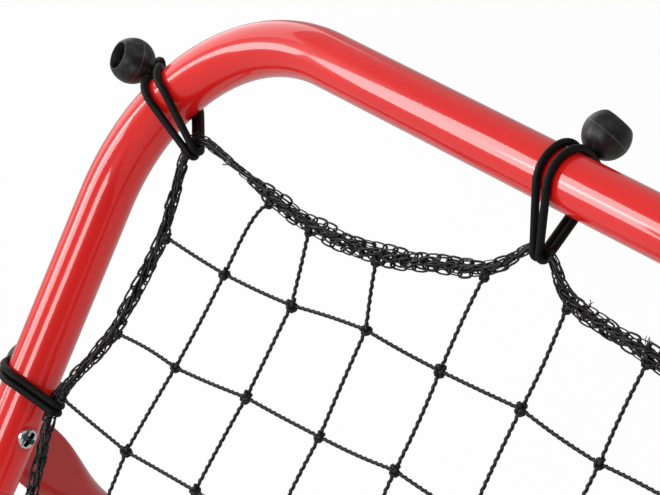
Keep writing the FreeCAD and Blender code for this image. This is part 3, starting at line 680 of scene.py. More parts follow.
twineSizes = {
    "twineRadius": 0.00127,
    "grooveRadius": 0.00077,
    "layLength": 0.0126,
    "ringStep": 0.00095,
    "bow": 0.0010,          # how far a taut twine wanders
    "borderBow": 0.0030,    # and one that is tied to the rope
    "borderSway": (-0.3, 1.0),
    "borderLean": (0.35, 0.65),
    "borderSteps": 8,
    "knotScale": 1.1,
    "endKnotScale": 0.92,
    "knotCord": 0.00108,
    "seed": 7,
}


def twineTree():
    tree, given, inputs = startTree("twineAndKnots", [
        "twineRadius", "grooveRadius", "layLength", "ringStep", "bow", "knotScale"])
    seed = (given, "seed")
    curve = addNode(tree, "GeometryNodeMeshToCurve", {"Mesh": (given, "Geometry")})
    fine = addNode(tree, "GeometryNodeResampleCurve", {"Curve": curve, "Length": (given, "ringStep")},
                   mode="LENGTH")
    along = addNode(tree, "GeometryNodeSplineParameter")
    half = addNode(tree, "ShaderNodeMath", {0: (along, "Factor"), 1: math.pi}, operation="MULTIPLY")
    arch = addNode(tree, "ShaderNodeMath", {0: half}, operation="SINE")
    pick = addNode(tree, "FunctionNodeRandomValue", {
        "Min": (-1.0, -0.6, -1.0), "Max": (1.0, 0.6, 1.0), "Seed": seed}, data_type="FLOAT_VECTOR")
    perTwine = addNode(tree, "GeometryNodeFieldOnDomain", {0: pick}, domain="CURVE",
                       data_type="FLOAT_VECTOR")
    reach = addNode(tree, "ShaderNodeMath", {0: arch, 1: (given, "bow")}, operation="MULTIPLY")
    push = addNode(tree, "ShaderNodeVectorMath", {0: perTwine, "Scale": reach}, operation="SCALE")
    bowed = addNode(tree, "GeometryNodeSetPosition", {"Geometry": fine, "Offset": push})
    turns = addNode(tree, "ShaderNodeMath", {0: (along, "Length"), 1: (given, "layLength")},
                    operation="DIVIDE")
    angle = addNode(tree, "ShaderNodeMath", {0: turns, 1: 2 * math.pi}, operation="MULTIPLY")
    twisted = addNode(tree, "GeometryNodeSetCurveTilt", {"Curve": bowed, "Tilt": angle})
    lobes = addNode(tree, "GeometryNodeCurveStar", {
        "Points": 3, "Twist": 0.0, "Inner Radius": (given, "grooveRadius"),
        "Outer Radius": (given, "twineRadius")})
    twine = addNode(tree, "GeometryNodeCurveToMesh", {
        "Curve": twisted, "Profile Curve": lobes, "Fill Caps": True})
    knotSize = addNode(tree, "GeometryNodeInputNamedAttribute", {"Name": "knotSize"}, data_type="FLOAT")
    isKnot = addNode(tree, "FunctionNodeCompare", {0: knotSize, 1: 0.1}, data_type="FLOAT",
                     operation="GREATER_THAN")
    knot = addNode(tree, "GeometryNodeObjectInfo", {"Object": (given, "shape")})
    spin = addNode(tree, "FunctionNodeRandomValue", {
        "Min": (-0.3, 0.0, -0.3), "Max": (0.3, 6.28, 0.3), "Seed": seed}, data_type="FLOAT_VECTOR")
    size = addNode(tree, "FunctionNodeRandomValue", {"Min": 0.9, "Max": 1.12, "Seed": seed},
                   data_type="FLOAT")
    sized = addNode(tree, "ShaderNodeMath", {0: size, 1: knotSize}, operation="MULTIPLY")
    scaled = addNode(tree, "ShaderNodeMath", {0: sized, 1: (given, "knotScale")}, operation="MULTIPLY")
    knots = addNode(tree, "GeometryNodeInstanceOnPoints", {
        "Points": (given, "Geometry"), "Selection": isKnot, "Instance": (knot, "Geometry"),
        "Rotation": spin, "Scale": scaled})
    endTree(tree, given, [twine, knots])
    return tree, inputs


def netPieces():
    tree, inputs = twineTree()
    # A tight sheet bend, drawn as a small overhand knot that faces the front
    line = [Vector((p.x, p.z, p.y)) for p in overhand(26, 0.00185, 0.00105, 0.00120)]
    verts, faces, _ = sweepLine(line, twineSizes["knotCord"], 5, closed=True)
    knot = makePiece("knotShape", verts, faces, netTwine)
    rows, columns = face["rows"], face["columns"]
    sway = random.Random(twineSizes["seed"])
    pieces = []
    # The bands keep each piece light; a twine down from a row belongs to the band below
    for number, (first, last) in enumerate(netPlan["bands"]):
        index, verts, sizes, edges = {}, [], [], []

        def corner(i, j):
            if (i, j) not in index:
                index[(i, j)] = len(verts)
                verts.append(knotGrid[i][j])
                inside = 1 <= i <= rows and 1 <= j <= columns
                own = first <= i <= last
                sizes.append((1.0 if inside else twineSizes["endKnotScale"]) if own else 0.0)
            return index[(i, j)]

        def tie(a, b):
            start, end = corner(*a), corner(*b)
            before = start
            if a[0] == 0 or b[0] == rows + 1 or a[1] == 0 or b[1] == columns + 1:
                # A twine at the rope hangs in a shallow curve
                run = verts[end] - verts[start]
                across = Vector((-run.z, 0, run.x)).normalized()
                bow = twineSizes["borderBow"] * sway.uniform(*twineSizes["borderSway"])
                lean = sway.uniform(*twineSizes["borderLean"])
                bow, lean = netPlan["slackTwines"].get((a, b), (bow, lean))
                for k in range(1, twineSizes["borderSteps"]):
                    share = k / twineSizes["borderSteps"]
                    lift = math.sin(math.pi * share ** (math.log(0.5) / math.log(lean)))
                    verts.append(verts[start] + run * share + across * (bow * lift))
                    sizes.append(0.0)
                    edges.append((before, len(verts) - 1))
                    before = len(verts) - 1
            edges.append((before, end))

        for i in range(first, last + 1):
            for j in range(columns + 1):
                if 1 <= i <= rows:
                    tie((i, j), (i, j + 1))
            for j in range(1, columns + 1):
                if i > 0:
                    tie((i - 1, j), (i, j))
        mesh = bpy.data.meshes.new("netBand")
        mesh.from_pydata([tuple(v) for v in verts], edges, [])
        mesh.attributes.new("knotSize", "FLOAT", "POINT").data.foreach_set("value", sizes)
        pieces.append(bakeTree("netBand%d" % (number + 1), addObject("netBand", mesh), tree, inputs,
                               twineSizes, knot, twineSizes["seed"] + number, netTwine))
    bpy.data.objects.remove(knot)
    return pieces


netParts = netPieces()
for piece in netParts:
    finishPiece(piece, "front_frame", "net_mesh")
print("net tied:", sum(len(p.data.polygons) for p in netParts), "faces")


# Border rope: chains of long knitted links along both edges and twisted over a few plain strands

ropeSizes = {
    "edge": 0.0036,         # from the rope's line to the middle of an edge chain, at its widest
    "flatness": 0.55,
    "linkLength": 0.0100,
    "linkWidth": 0.0041,
    "linkStep": 0.0083,
    "linkLift": 0.0005,
    "yarn": 0.00066,
    "strand": 0.00085,
    "strandLay": 0.031,
    "chainLay": 0.058,
    "lineStep": 0.004,
    "atTie": {"post": 0.66, "bend": 0.50, "bar": 0.42, "barLow": 0.42},     # share of the widest
    "open": 0.78,           # and past a tie's reach; it is full at mid crown
    "tieReach": 0.050,
    "crownReach": 0.115,
    "tight": {"place": (97, 79), "reach": 0.027, "share": 0.72},    # drawn thin beside the corner tie
    "lumps": 0.05,
    "yarnEnds": [((87.6, 78.1), 225, 2), ((383.0, 53.0), 75, 4), ((430.0, 56.0), 85, 7)],
    "yarnEndLength": 0.0055,
    "yarnEnd": 0.00024,
    "seed": 21,
}
# Each line: its rest across the band, its swing, its depth, turns in a lay, phase, roll of a link
ropeLines = ([("chain", 1.0, 0.12, 0.10, 1.3, 0.0, 0.30), ("chain", -1.0, 0.12, 0.10, 1.1, 2.0, 0.30)]
             + [("chain", 0.0, 0.66, 0.75, 1.0, 0.3 + 2.1 * k, 0.9) for k in range(3)]
             + [("strand", 0.0, 0.42, 0.50, 1.0, 2.09 * k, 0.0) for k in range(3)])


def tiePlaces():
    # Kind, foot on the tube's axis, outward, along and the rope's distance of each bungee.
    height, bend = face["height"], face["cornerRadius"]
    barGap, sideGap = netPlan["barTie"][1] / 1000, netPlan["sideTie"][0] / 1000
    barX, sideDepth = halfWidth - netPlan["barTie"][0] / 1000, netPlan["sideTie"][1] / 1000
    out = []
    for x, way in ((-barX, 1), (0.0, 1), (barX, -1)):
        out.append(("bar", Vector((x, 0, height)), upward, toRight * way, barGap))
        out.append(("barLow", Vector((x, 0, 0)), -upward, toRight * way, barGap))
    for side in (-1, 1):
        for depth, way in ((sideDepth, 1), (height / 2, 1), (height - sideDepth, -1)):
            foot = Vector((side * halfWidth, 0, height - depth))
            out.append(("post", foot, toRight * side, upward * way, sideGap))
        for level, up in ((height, -1), (0.0, 1)):
            centre = Vector((side * (halfWidth - bend), 0, level + up * bend))
            outward = Vector((side * (halfWidth - netPlan["cornerTie"][0] / 1000), 0,
                              level + up * netPlan["cornerTie"][1] / 1000)) - centre
            gap = bend - outward.length
            outward.normalize()
            along = Vector((outward.z, 0, -outward.x)) * (-side * up)
            out.append(("bend", centre + outward * bend, outward, along, gap))
    return out


def ropeTree():
    tree, given, inputs = startTree("knittedRope", [
        "edge", "flatness", "linkStep", "chainLay", "strand", "strandLay"])
    along = addNode(tree, "GeometryNodeSplineParameter")
    full = addNode(tree, "GeometryNodeInputRadius")
    way = addNode(tree, "GeometryNodeInputTangent")
    across = addNode(tree, "ShaderNodeVectorMath", {0: way, 1: tuple(toRear)}, operation="CROSS_PRODUCT")
    fine = addNode(tree, "GeometryNodeResampleCurve", {"Curve": (given, "Geometry"), "Length": 0.0016},
                   mode="LENGTH")
    reach = addNode(tree, "ShaderNodeMath", {0: full, 1: (given, "edge")}, operation="MULTIPLY")
    circle = addNode(tree, "GeometryNodeCurvePrimitiveCircle", {
        "Resolution": 6, "Radius": (given, "strand")}, mode="RADIUS")
    link = addNode(tree, "GeometryNodeObjectInfo", {"Object": (given, "shape")})
    # Where the rope is drawn thin its links close up.
    closing = addNode(tree, "ShaderNodeMapRange", {
        "Value": full, "From Min": 0.20, "From Max": 0.62, "To Min": 0.45, "To Max": 1.0})
    narrow = addNode(tree, "ShaderNodeCombineXYZ", {"X": 1.0, "Y": closing, "Z": 1.0})
    parts = []
    for number, (kind, rest, swing, depth, turns, phase, roll) in enumerate(ropeLines):
        laid = addNode(tree, "ShaderNodeMath", {0: (along, "Length"), 1: (given, kind + "Lay")},
                       operation="DIVIDE")
        angle = addNode(tree, "ShaderNodeMath", {0: laid, 1: turns * 2 * math.pi, 2: phase},
                        operation="MULTIPLY_ADD")
        cosine = addNode(tree, "ShaderNodeMath", {0: angle}, operation="COSINE")
        sine = addNode(tree, "ShaderNodeMath", {0: angle}, operation="SINE")
        share = addNode(tree, "ShaderNodeMath", {0: cosine, 1: swing, 2: rest}, operation="MULTIPLY_ADD")
        width = addNode(tree, "ShaderNodeMath", {0: share, 1: reach}, operation="MULTIPLY")
        lift = addNode(tree, "ShaderNodeMath", {0: sine, 1: depth}, operation="MULTIPLY")
        deep = addNode(tree, "ShaderNodeMath", {0: lift, 1: reach}, operation="MULTIPLY")
        flat = addNode(tree, "ShaderNodeMath", {0: deep, 1: (given, "flatness")}, operation="MULTIPLY")
        sideways = addNode(tree, "ShaderNodeVectorMath", {0: across, "Scale": width}, operation="SCALE")
        outward = addNode(tree, "ShaderNodeCombineXYZ", {"Y": flat})
        offset = addNode(tree, "ShaderNodeVectorMath", {0: sideways, 1: outward}, operation="ADD")
        moved = addNode(tree, "GeometryNodeSetPosition", {"Geometry": fine, "Offset": offset})
        if kind == "strand":
            parts.append(addNode(tree, "GeometryNodeCurveToMesh", {
                "Curve": moved, "Profile Curve": circle, "Fill Caps": True}))
            continue
        faced = addNode(tree, "GeometryNodeSetCurveNormal", {"Curve": moved, "Normal": tuple(toRear)},
                        mode="FREE")
        spaced = addNode(tree, "GeometryNodeResampleCurve", {"Curve": faced, "Length": (given, "linkStep")},
                         mode="LENGTH")
        points = addNode(tree, "GeometryNodeCurveToPoints", {"Curve": spaced}, mode="EVALUATED")
        seeded = addNode(tree, "FunctionNodeIntegerMath", {0: (given, "seed"), 1: 13 * number},
                         operation="ADD")
        lean = addNode(tree, "FunctionNodeRandomValue", {
            "Min": (-0.10, -0.08, -roll), "Max": (0.10, 0.08, roll), "Seed": seeded},
            data_type="FLOAT_VECTOR")
        leanTurn = addNode(tree, "FunctionNodeEulerToRotation", {"Euler": lean})
        turned = addNode(tree, "FunctionNodeRotateRotation", {
            "Rotation": (points, "Rotation"), "Rotate By": leanTurn}, rotation_space="LOCAL")
        size = addNode(tree, "FunctionNodeRandomValue", {
            "Min": (0.8, 0.55, 0.86), "Max": (1.2, 1.15, 1.06), "Seed": seeded},
            data_type="FLOAT_VECTOR")
        shaped = addNode(tree, "ShaderNodeVectorMath", {0: size, 1: narrow}, operation="MULTIPLY")
        parts.append(addNode(tree, "GeometryNodeInstanceOnPoints", {
            "Points": points, "Instance": (link, "Geometry"), "Rotation": turned, "Scale": shaped}))
    endTree(tree, given, parts)
    return tree, inputs


def linkShape():
    # One long knitted link along Z; its two ends lie over and under their neighbours.
    line = []
    for k in range(12):
        t = 2 * math.pi * (k + 0.5) / 12
        wide = math.copysign(abs(math.sin(t)) ** 0.7, math.sin(t))
        high = math.copysign(abs(math.cos(t)) ** 0.8, math.cos(t))
        line.append(Vector((ropeSizes["linkLift"] * math.cos(t), ropeSizes["linkWidth"] / 2 * wide,
                            ropeSizes["linkLength"] / 2 * high)))
    verts, faces, _ = sweepLine(line, ropeSizes["yarn"], 4, closed=True)
    return makePiece("linkShape", verts, faces, ropeYarn)


def borderRope():
    tree, inputs = ropeTree()
    link = linkShape()
    line = smoothLine([p for p, _ in ropeLine], ropeSizes["lineStep"], closed=True)
    ties = [(foot - outward * gap, ropeSizes["atTie"][kind]) for kind, foot, outward, _, gap in tiePlaces()]
    tight, tightPlace = ropeSizes["tight"], fromCorner(ropeSizes["tight"]["place"])
    lumps = random.Random(ropeSizes["seed"])
    waves = [(lumps.uniform(0.008, 0.030), lumps.uniform(0, 6.28)) for _ in range(5)]

    def fullness(place, along):
        near, least = min(((place - tie).length, least) for tie, least in ties)
        share = least + (ropeSizes["open"] - least) * min(1.0, near / ropeSizes["tieReach"]) ** 1.5
        share += (1 - ropeSizes["open"]) * min(1.0, near / ropeSizes["crownReach"]) ** 2
        fromTight = (place - tightPlace).length / tight["reach"]
        share *= 1 - tight["share"] * math.exp(-fromTight ** 2)
        swell = sum(math.sin(along / step + start) for step, start in waves)
        return share * (1 + ropeSizes["lumps"] * swell)

    quarter = len(line) // 4
    pieces = []
    for number in range(4):
        last = len(line) if number == 3 else (number + 1) * quarter
        span = [line[k % len(line)] for k in range(number * quarter, last + 2)]
        data = bpy.data.curves.new("ropeSpan", "CURVE")
        data.dimensions = "3D"
        spline = data.splines.new("POLY")
        spline.points.add(len(span) - 1)
        for point, place in zip(spline.points, span):
            point.co = (*place, 1.0)
            point.radius = fullness(place, ropeSizes["lineStep"] * line.index(place))
        pieces.append(bakeTree("borderRope%d" % (number + 1), addObject("ropeSpan", data), tree, inputs,
                               ropeSizes, link, ropeSizes["seed"] + 100 * number, ropeYarn))
    bpy.data.objects.remove(link)
    return pieces


def ropeYarnEnds():
    # Worn ends of yarn that stand off the rope: each tuft's root, heading in degrees and count.
    pick = random.Random(ropeSizes["seed"])
    parts = []
    for place, heading, count in ropeSizes["yarnEnds"]:
        root = fromCorner(place)
        for _ in range(count):
            angle = math.radians(heading + pick.uniform(-45, 45))
            way = Vector((math.cos(angle), pick.uniform(-0.5, 0.0), math.sin(angle)))
            way *= ropeSizes["yarnEndLength"] * pick.uniform(0.5, 1.0)
            bow = Vector((-way.z, 0, way.x)) * pick.uniform(-0.3, 0.3)
            line = smoothLine([root, root + way * 0.5 + bow, root + way], 0.001)
            parts.append(sweepLine(line, ropeSizes["yarnEnd"], 4))
    verts, faces, uvs = joinParts(parts)
    return makePiece("borderRopeYarnEnds", verts, faces, ropeYarn, faceToPart, uvs)


ropeParts = borderRope() + [ropeYarnEnds()]
for piece in ropeParts:
    finishPiece(piece, "front_frame", "border_rope")
print("border rope knitted:", sum(len(p.data.polygons) for p in ropeParts), "faces")


# Ball bungees: the cord's ends are knotted inside the ball; its loop hooks round the neck

bungeeSizes = {
    "cordRadius": 0.00225,
    "laneRadius": 0.0020,   # the strands are squeezed side by side in the bore
    "strandGap": 0.0046,
    "wrap": 0.0185,
    "ropePinch": 0.0035,
    "crest": -40.0,         # degrees round the tube, from its outer side to the front
    "hookDrop": 0.0027,
    "hookSide": 0.0060,
    "hookBack": 0.0052,
    "ballRadius": 0.0134,
    "mouthRadius": 0.0078,
    "mouthCut": 0.0032,
    "mouthDepth": 0.015,
    "boreRadius": 0.0049,
    "ridgeHeight": 0.00012,
    "ridgeHalf": 0.0004,
    "cordSides": 14,
    "cordStep": 0.0018,
    "knotCord": 0.0019,
    # Ball's middle from the tie's foot, and its axis from neck to mouth: along, outward, rearward
    "ballSeats": {
        "bar": ((-0.0095, 0.0284, 0.0206), (0.12, 0.935, 0.33)),
        "barLow": ((-0.0095, -0.0108, 0.0334), (0.12, -0.024, 0.99)),
        "post": ((0.0085, 0.0296, 0.0178), (-0.12, 0.935, 0.33)),
        "bend": ((0.0126, 0.0330, -0.0104), (0.143, 0.216, -0.963)),
    },
    # Front strands, half their distance and their drift along the tube: where they meet it, at its crest
    "frontRuns": {
        "bar": ((0.0041, -0.0019), (0.0045, -0.0043)),
        "barLow": ((0.0041, -0.0019), (0.0045, -0.0043)),
        "post": ((0.00232, 0.0042), (0.00238, 0.0070)),
        "bend": ((0.0057, -0.0012), (0.0056, 0.0)),
    },
}


def ballShape(centre, axis):
    # Moulded ball: parting ridge, wide mouth for the knot and a bore for the cord.
    size = bungeeSizes
    r, mouth, bore = size["ballRadius"], size["mouthRadius"], size["boreRadius"]
    top = r - size["mouthCut"]
    ledge = top - size["mouthDepth"]
    lip = math.sqrt(r * r - top * top)
    root = -math.sqrt(r * r - bore * bore)
    outline = [(bore, ledge + 0.002), (bore, root + 0.0006), (bore + 0.0004, root)]
    start, end = math.atan2(root, bore + 0.0006), math.atan2(top, lip)
    for k in range(1, 35):
        a = start + (end - start) * k / 35
        ridge = size["ridgeHeight"] if abs(r * math.sin(a)) < size["ridgeHalf"] else 0.0
        outline.append(((r + ridge) * math.cos(a), (r + ridge) * math.sin(a)))
    outline += [(lip - 0.0001, top - 0.00025), (lip - 0.0004, top), (mouth + 0.0003, top),
                (mouth, top - 0.0003), (mouth - 0.0001, top - 0.006), (mouth - 0.0004, ledge + 0.001),
                (mouth - 0.0016, ledge), (bore, ledge + 0.002)]
    verts, faces = bridgeRings(latheRings(outline, 56), capped=False)
    # The map's u is 1 at the middle of the parting ridge.
    uvs = [(1.0 + v.z if v.length > r - 0.0002 else 0.0, 0.0) for v in verts]
    matrix = placeAlong(centre, axis)
    return [matrix @ v for v in verts], faces, uvs


def cordKnot(centre, axis):
    # The knot of the cord's ends, which sits in the mouth.
    matrix = placeAlong(centre - axis * 0.0005, axis)
    line = [matrix @ p for p in overhand(40, 0.0024, 0.0012, 0.0016)]
    return sweepLine(line, bungeeSizes["knotCord"], 8, closed=True)


def cordRoute(kind, foot, outward, along, gap):
    # One loop of cord: out of the ball, down behind the tube, under the rope, up the front
    # and round the neck. Returns its line, the ball's middle and the ball's axis.
    size = bungeeSizes
    wrap, pinch, crest = size["wrap"], size["ropePinch"], size["crest"]
    leave = 90 + math.degrees(math.asin((wrap - pinch) / gap))

    def place(a, o, n):
        return foot + along * a + outward * o + toRear * n

    def wrapped(a, angle):
        turn = math.radians(angle)
        return place(a, wrap * math.cos(turn), wrap * math.sin(turn))

    def turnOf(point):
        # A point's angle round the tube, and the angle from there to where a tangent lands.
        o, n = (point - foot).dot(outward), (point - foot).dot(toRear)
        return (math.degrees(math.atan2(n, o)),
                math.degrees(math.acos(min(1.0, wrap / math.hypot(o, n)))))

    seat, axis = size["ballSeats"][kind]
    middle = place(*seat)
    axis = (along * axis[0] + outward * axis[1] + toRear * axis[2]).normalized()
    sideways = (along - axis * along.dot(axis)).normalized()
    neck = middle - axis * (size["ballRadius"] + 0.0004)
    hook = middle - axis * (size["ballRadius"] + size["hookDrop"])
    atHook, offHook = turnOf(hook)
    atNeck, offNeck = turnOf(neck)
    lead = hook
    if offHook > 20:        # the strands rise beside the ball to reach its neck
        inward = outward - axis * outward.dot(axis)
        lead = hook - inward.normalized() * 0.006
        atHook, offHook = turnOf(lead)
    frontEnd = atHook - max(offHook, 12.0)
    rearStart = atNeck + max(offNeck, 12.0)
    travel = hook - wrapped((hook - foot).dot(along), frontEnd)
    back = (travel - axis * travel.dot(axis) - sideways * travel.dot(sideways)).normalized()
    neckA, leadA = (neck - foot).dot(along), (lead - foot).dot(along)
    half = size["strandGap"] / 2
    (half1, drift1), (half2, drift2) = size["frontRuns"][kind]
    reachLead = math.radians(frontEnd - crest) * wrap + (lead - wrapped(leadA, frontEnd)).length

    def strand(s):
        lane = sideways * (s * size["laneRadius"])
        points = [middle - axis * 0.003 + lane, neck + lane]
        if rearStart < leave - 8:
            count = max(2, round((leave - rearStart) / 14))
            for k in range(count + 1):
                share = 1 - (k + 0.5) / (count + 1.5)
                points.append(wrapped(neckA * share + s * half,
                                      rearStart + (leave - rearStart) * k / count))
        for k in range(7):
            turn = math.radians(leave + (360 - 2 * leave) * k / 6)
            points.append(place(s * half, pinch * math.cos(turn) - gap, pinch * math.sin(turn)))
        count = max(4, round((frontEnd + leave) / 13))
        for k in range(count + 1):
            turn = -leave + (frontEnd + leave) * k / count
            if turn < crest:
                share = (turn + leave) / (crest + leave)
                spread, drift = half1 + (half2 - half1) * share, drift1 + (drift2 - drift1) * share
            else:
                share = math.radians(turn - crest) * wrap / reachLead
                spread = half2 + (size["hookSide"] - half2) * share
                drift = drift2 + (leadA - drift2) * share
            points.append(wrapped(drift + s * spread, turn))
        if lead is not hook:
            points.append(lead + sideways * (s * (size["hookSide"] - 0.0002)))
        for turn in (0, 30, 60):
            a = math.radians(turn)
            points.append(hook + sideways * (s * size["hookSide"] * math.cos(a))
                          + back * (size["hookBack"] * math.sin(a)))
        return points

    far = [hook + back * size["hookBack"]]
    return strand(1) + far + strand(-1)[::-1], middle, axis


for number, (kind, foot, outward, along, gap) in enumerate(tiePlaces(), 1):
    route, middle, axis = cordRoute(kind, foot, outward, along, gap)
    cord = sweepLine(smoothLine(route, bungeeSizes["cordStep"]), bungeeSizes["cordRadius"],
                     bungeeSizes["cordSides"])
    verts, faces, uvs = joinParts([cord, cordKnot(middle, axis)])
    finishPiece(makePiece("bungeeCord%02d" % number, verts, faces, cordSleeve, faceToPart, uvs),
                "front_frame", "bungee_cord_%02d" % number)
    verts, faces, uvs = ballShape(middle, axis)
    finishPiece(makePiece("bungeeBall%02d" % number, verts, faces, ballPlastic, faceToPart, uvs),
                "front_frame", "bungee_ball_%02d" % number)
print("bungees tied")


# Screws with a cross recess

screwSizes = {
    "pivot": {"head": 0.01230, "height": 0.0038, "shank": 0.0030, "length": 0.0467},
    "strap": {"head": 0.0095, "height": 0.0032, "shank": 0.0025, "length": 0.009},
    "joint": {"head": 0.0095, "height": 0.0032, "shank": 0.0025, "length": 0.008},
    "jointPlace": 0.027,    # a joint screw's distance from the middle of its bar
}


def crossScrew(name, seat, outward, kind):
    # Pan head with a Phillips recess cut in, on a plain shank.
    size = screwSizes[kind]
    r, h, shank, length = size["head"] / 2, size["height"], size["shank"], size["length"]
    outline = [(shank - 0.0003, -length), (shank, -length + 0.0004), (shank, -0.0001),
               (shank + 0.0001, 0.0), (r - 0.0002, 0.0), (r, 0.0002)]
    for k in range(11):
        a = math.radians(9 * k)
        outline.append((r * (0.30 + 0.70 * math.cos(a)), h * (0.42 + 0.58 * math.sin(a))))
    outline.append((r * 0.02, h))
    verts, faces = bridgeRings(latheRings(outline, 48))
    screw = makePiece(name, verts, faces, zinc, uvs=[(0.0, 0.0)] * len(verts))
    arm, wide, deep = r * 0.82, r * 0.25, h * 0.92
    ring = []
    for quarter in range(4):
        a = math.pi / 2 * quarter
        for x, y in ((arm, wide), (wide * 1.15, wide * 1.15), (wide, arm)):
            ring.append((x * math.cos(a) - y * math.sin(a), x * math.sin(a) + y * math.cos(a)))
    rings = [[Vector((x * share, y * share, z)) for x, y in ring]
             for share, z in ((0.55, h - deep), (0.98, h * 0.98), (1.0, h * 1.1))]
    verts, faces = bridgeRings(rings)
    # The recess's faces carry u = 1, where the zinc finish paints shade.
    cutter = makePiece("recessShape", verts, faces, zinc, uvs=[(1.0, 0.0)] * len(verts), flat=True)
    cut = screw.modifiers.new("recess", "BOOLEAN")
    cut.object = cutter
    cut.operation = "DIFFERENCE"
    cut.solver = "EXACT"
    mesh = meshOf(screw)
    screw.modifiers.remove(cut)
    screw.data = mesh
    bpy.data.objects.remove(cutter)
    mesh.transform(placeAlong(seat, outward) @ Matrix.Rotation(math.radians(45), 4, "Z"))
    mesh.shade_smooth()
    mesh.set_sharp_from_angle(angle=math.radians(35))
    return screw


def joinObjects(name, objects):
    # One mesh object from several.
    build = bmesh.new()
    for obj in objects:
        build.from_mesh(obj.data)
    mesh = bpy.data.meshes.new(name)
    build.to_mesh(mesh)
    build.free()
    mesh.materials.append(objects[0].data.materials[0])
    for obj in objects:
        bpy.data.objects.remove(obj)
    return addObject(name, mesh)


strap = {
    "reach": 0.470,
    "width": 0.025,
    "thick": 0.0016,
    "edge": 0.72,           # share of the thickness that is left at the selvedge
    "tab": 0.030,
    "end": 0.016,
    "play": 0.0002,
    "washer": 0.0010,
    "held": 0.03,           # the length at each end that its body holds
    "backShift": 0.05,      # the other face's weave, further along the map
    "rings": 220,
    "across": 12,
}
# A strap's ends on the post and on the leg, and how far inside and outside the post's axis it lies there
strapFront = faceToPart @ Vector((0, 0, pivotLevel - strap["reach"]))
strapRear = standToPart @ Vector((0, 0, -strap["reach"]))
strapIn = face["tubeRadius"] + strap["play"] + strap["thick"] / 2
strapOut = face["tubeRadius"] + stand["postGap"] - strap["play"] - strap["thick"] / 2

for side, word in bothSides:
    seat = Vector((side * (halfWidth - face["tubeRadius"] + frameTube["seatDepth"]), 0, pivotLevel))
    screw = crossScrew("pivotScrew" + word.capitalize(), faceToPart @ seat, Vector((-side, 0, 0)), "pivot")
    finishPiece(screw, "front_frame", "pivot_screw_" + word)

for end, body, centre, x in (("front", "front_frame", strapFront, halfWidth - strapIn),
                             ("rear", "rear_stand", strapRear, halfWidth + strapOut)):
    screws = []
    for side, _ in bothSides:
        seat = Vector((side * (x - strap["thick"] / 2 - strap["washer"]), centre.y, centre.z))
        screws.append(crossScrew("strapScrew", seat, Vector((-side, 0, 0)), "strap"))
    finishPiece(joinObjects(end + "StrapScrews", screws), body, end + "_strap_screws")

for bar, matrix, tube, level, body in (("top", faceToPart, face, face["height"], "front_frame"),
                                       ("bottom", faceToPart, face, 0.0, "front_frame"),
                                       ("rear", standToPart, stand, -legLength, "rear_stand")):
    seat = matrix @ Vector((screwSizes["jointPlace"], tube["tubeRadius"], level))
    outward = (matrix.to_3x3() @ toRear).normalized()
    screw = crossScrew(bar + "JointScrew", seat, outward, "joint")
    finishPiece(screw, body, bar + "_joint_screw")
print("screws cut")


# Spreader straps: flat webbing from post to leg, with a weave that follows the strap

def strapPiece(side, word):
    chord = strapRear - strapFront
    span = chord.length
    matrix = Matrix.Translation(strapFront) @ Matrix.Rotation(math.atan2(chord.z, chord.y), 4, "X")
    half, thick, across = strap["width"] / 2, strap["thick"] / 2, strap["across"]
    rings, uvs = [], []
    for k in range(strap["rings"] + 1):
        c = -strap["end"] + (span + 2 * strap["end"]) * k / strap["rings"]
        crossed = min(1.0, max(0.0, (c - strap["tab"]) / (span - 2 * strap["tab"])))
        x = halfWidth - strapIn + (strapOut + strapIn) * crossed
        ring = []
        for way, shift in ((1, 0.0), (-1, strap["backShift"])):
            for m in range(across + 1):
                z = way * (-half + 2 * half * m / across)
                edge = 1.0 if 0 < m < across else strap["edge"]
                ring.append(Vector((side * (x + way * thick * edge), c, z)))
                uvs.append((c + shift, z + half))
        rings.append(ring)
    verts, faces = bridgeRings(rings, turned=side > 0)
    piece = makePiece("spreaderStrap" + word.capitalize(), verts, faces, webbing, matrix, uvs)
    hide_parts("spreader_strap_" + word)
    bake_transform(piece)


for side, word in bothSides:
    strapPiece(side, word)
print("straps woven")


# CAD pieces that keep their own shape

keptFinishes = {
    "pivot_spacer_left": spacerNylon, "pivot_spacer_right": spacerNylon,
    "pivot_nut_left": zinc, "pivot_nut_right": zinc,
    "front_strap_washers": zinc, "rear_strap_washers": zinc,
    "front_pad_left": padRubber, "front_pad_right": padRubber,
    "rear_pad_left": padRubber, "rear_pad_right": padRubber,
}
for node, material in keptFinishes.items():
    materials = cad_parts[node].data.materials
    materials.clear()
    materials.append(material)


# Studio: white floor and surround; soft lamps to the left, in front and, faintly, overhead

studio = {
    "floorSize": 40.0,
    "floorGloss": 0.45,
    "floorGlow": 0.92,
    "worldDiffuse": 0.68,
    "worldGloss": 0.33,
    "flagGloss": 0.05,      # a black flag stands to the right
    "flagSide": (0.951, -0.309, 0.0),
    "flagEdge": (0.5, 0.9),
    "aim": (-0.55, 0.05, 0.85),
    # Each lamp as seen from aim: degrees to the right of the goal's front, degrees above the
    # ground and metres away; then width and height, power and roll
    "lamps": {
        "wallLeft": ((-92, 17, 2.6), (2.8, 1.8), 18, 0),
        "stripLeft": ((-44.3, 16.7, 6.0), (1.08, 4.2), 92, 10),
        "stripOver": ((-32, 16.5, 6.0), (2.3, 0.75), 34, 0),
        "stripFront": ((17, 20, 6.0), (1.8, 1.6), 68, 0),
    },
    "topFill": {"place": (0.3, -0.2, 3.6), "aim": (0, 0, 0.4), "size": (3.0, 3.0), "power": 6},
}


def areaLight(name, place, aim, size, power, roll=0.0):
    data = bpy.data.lights.new(name, "AREA")
    data.shape = "RECTANGLE"
    data.size, data.size_y = size
    data.energy = power
    lamp = addObject(name, data)
    lamp.location = place
    sight = (Vector(aim) - Vector(place)).to_track_quat("-Z", "Y").to_matrix()
    lamp.rotation_euler = (sight @ Matrix.Rotation(math.radians(roll), 3, "Z")).to_euler()


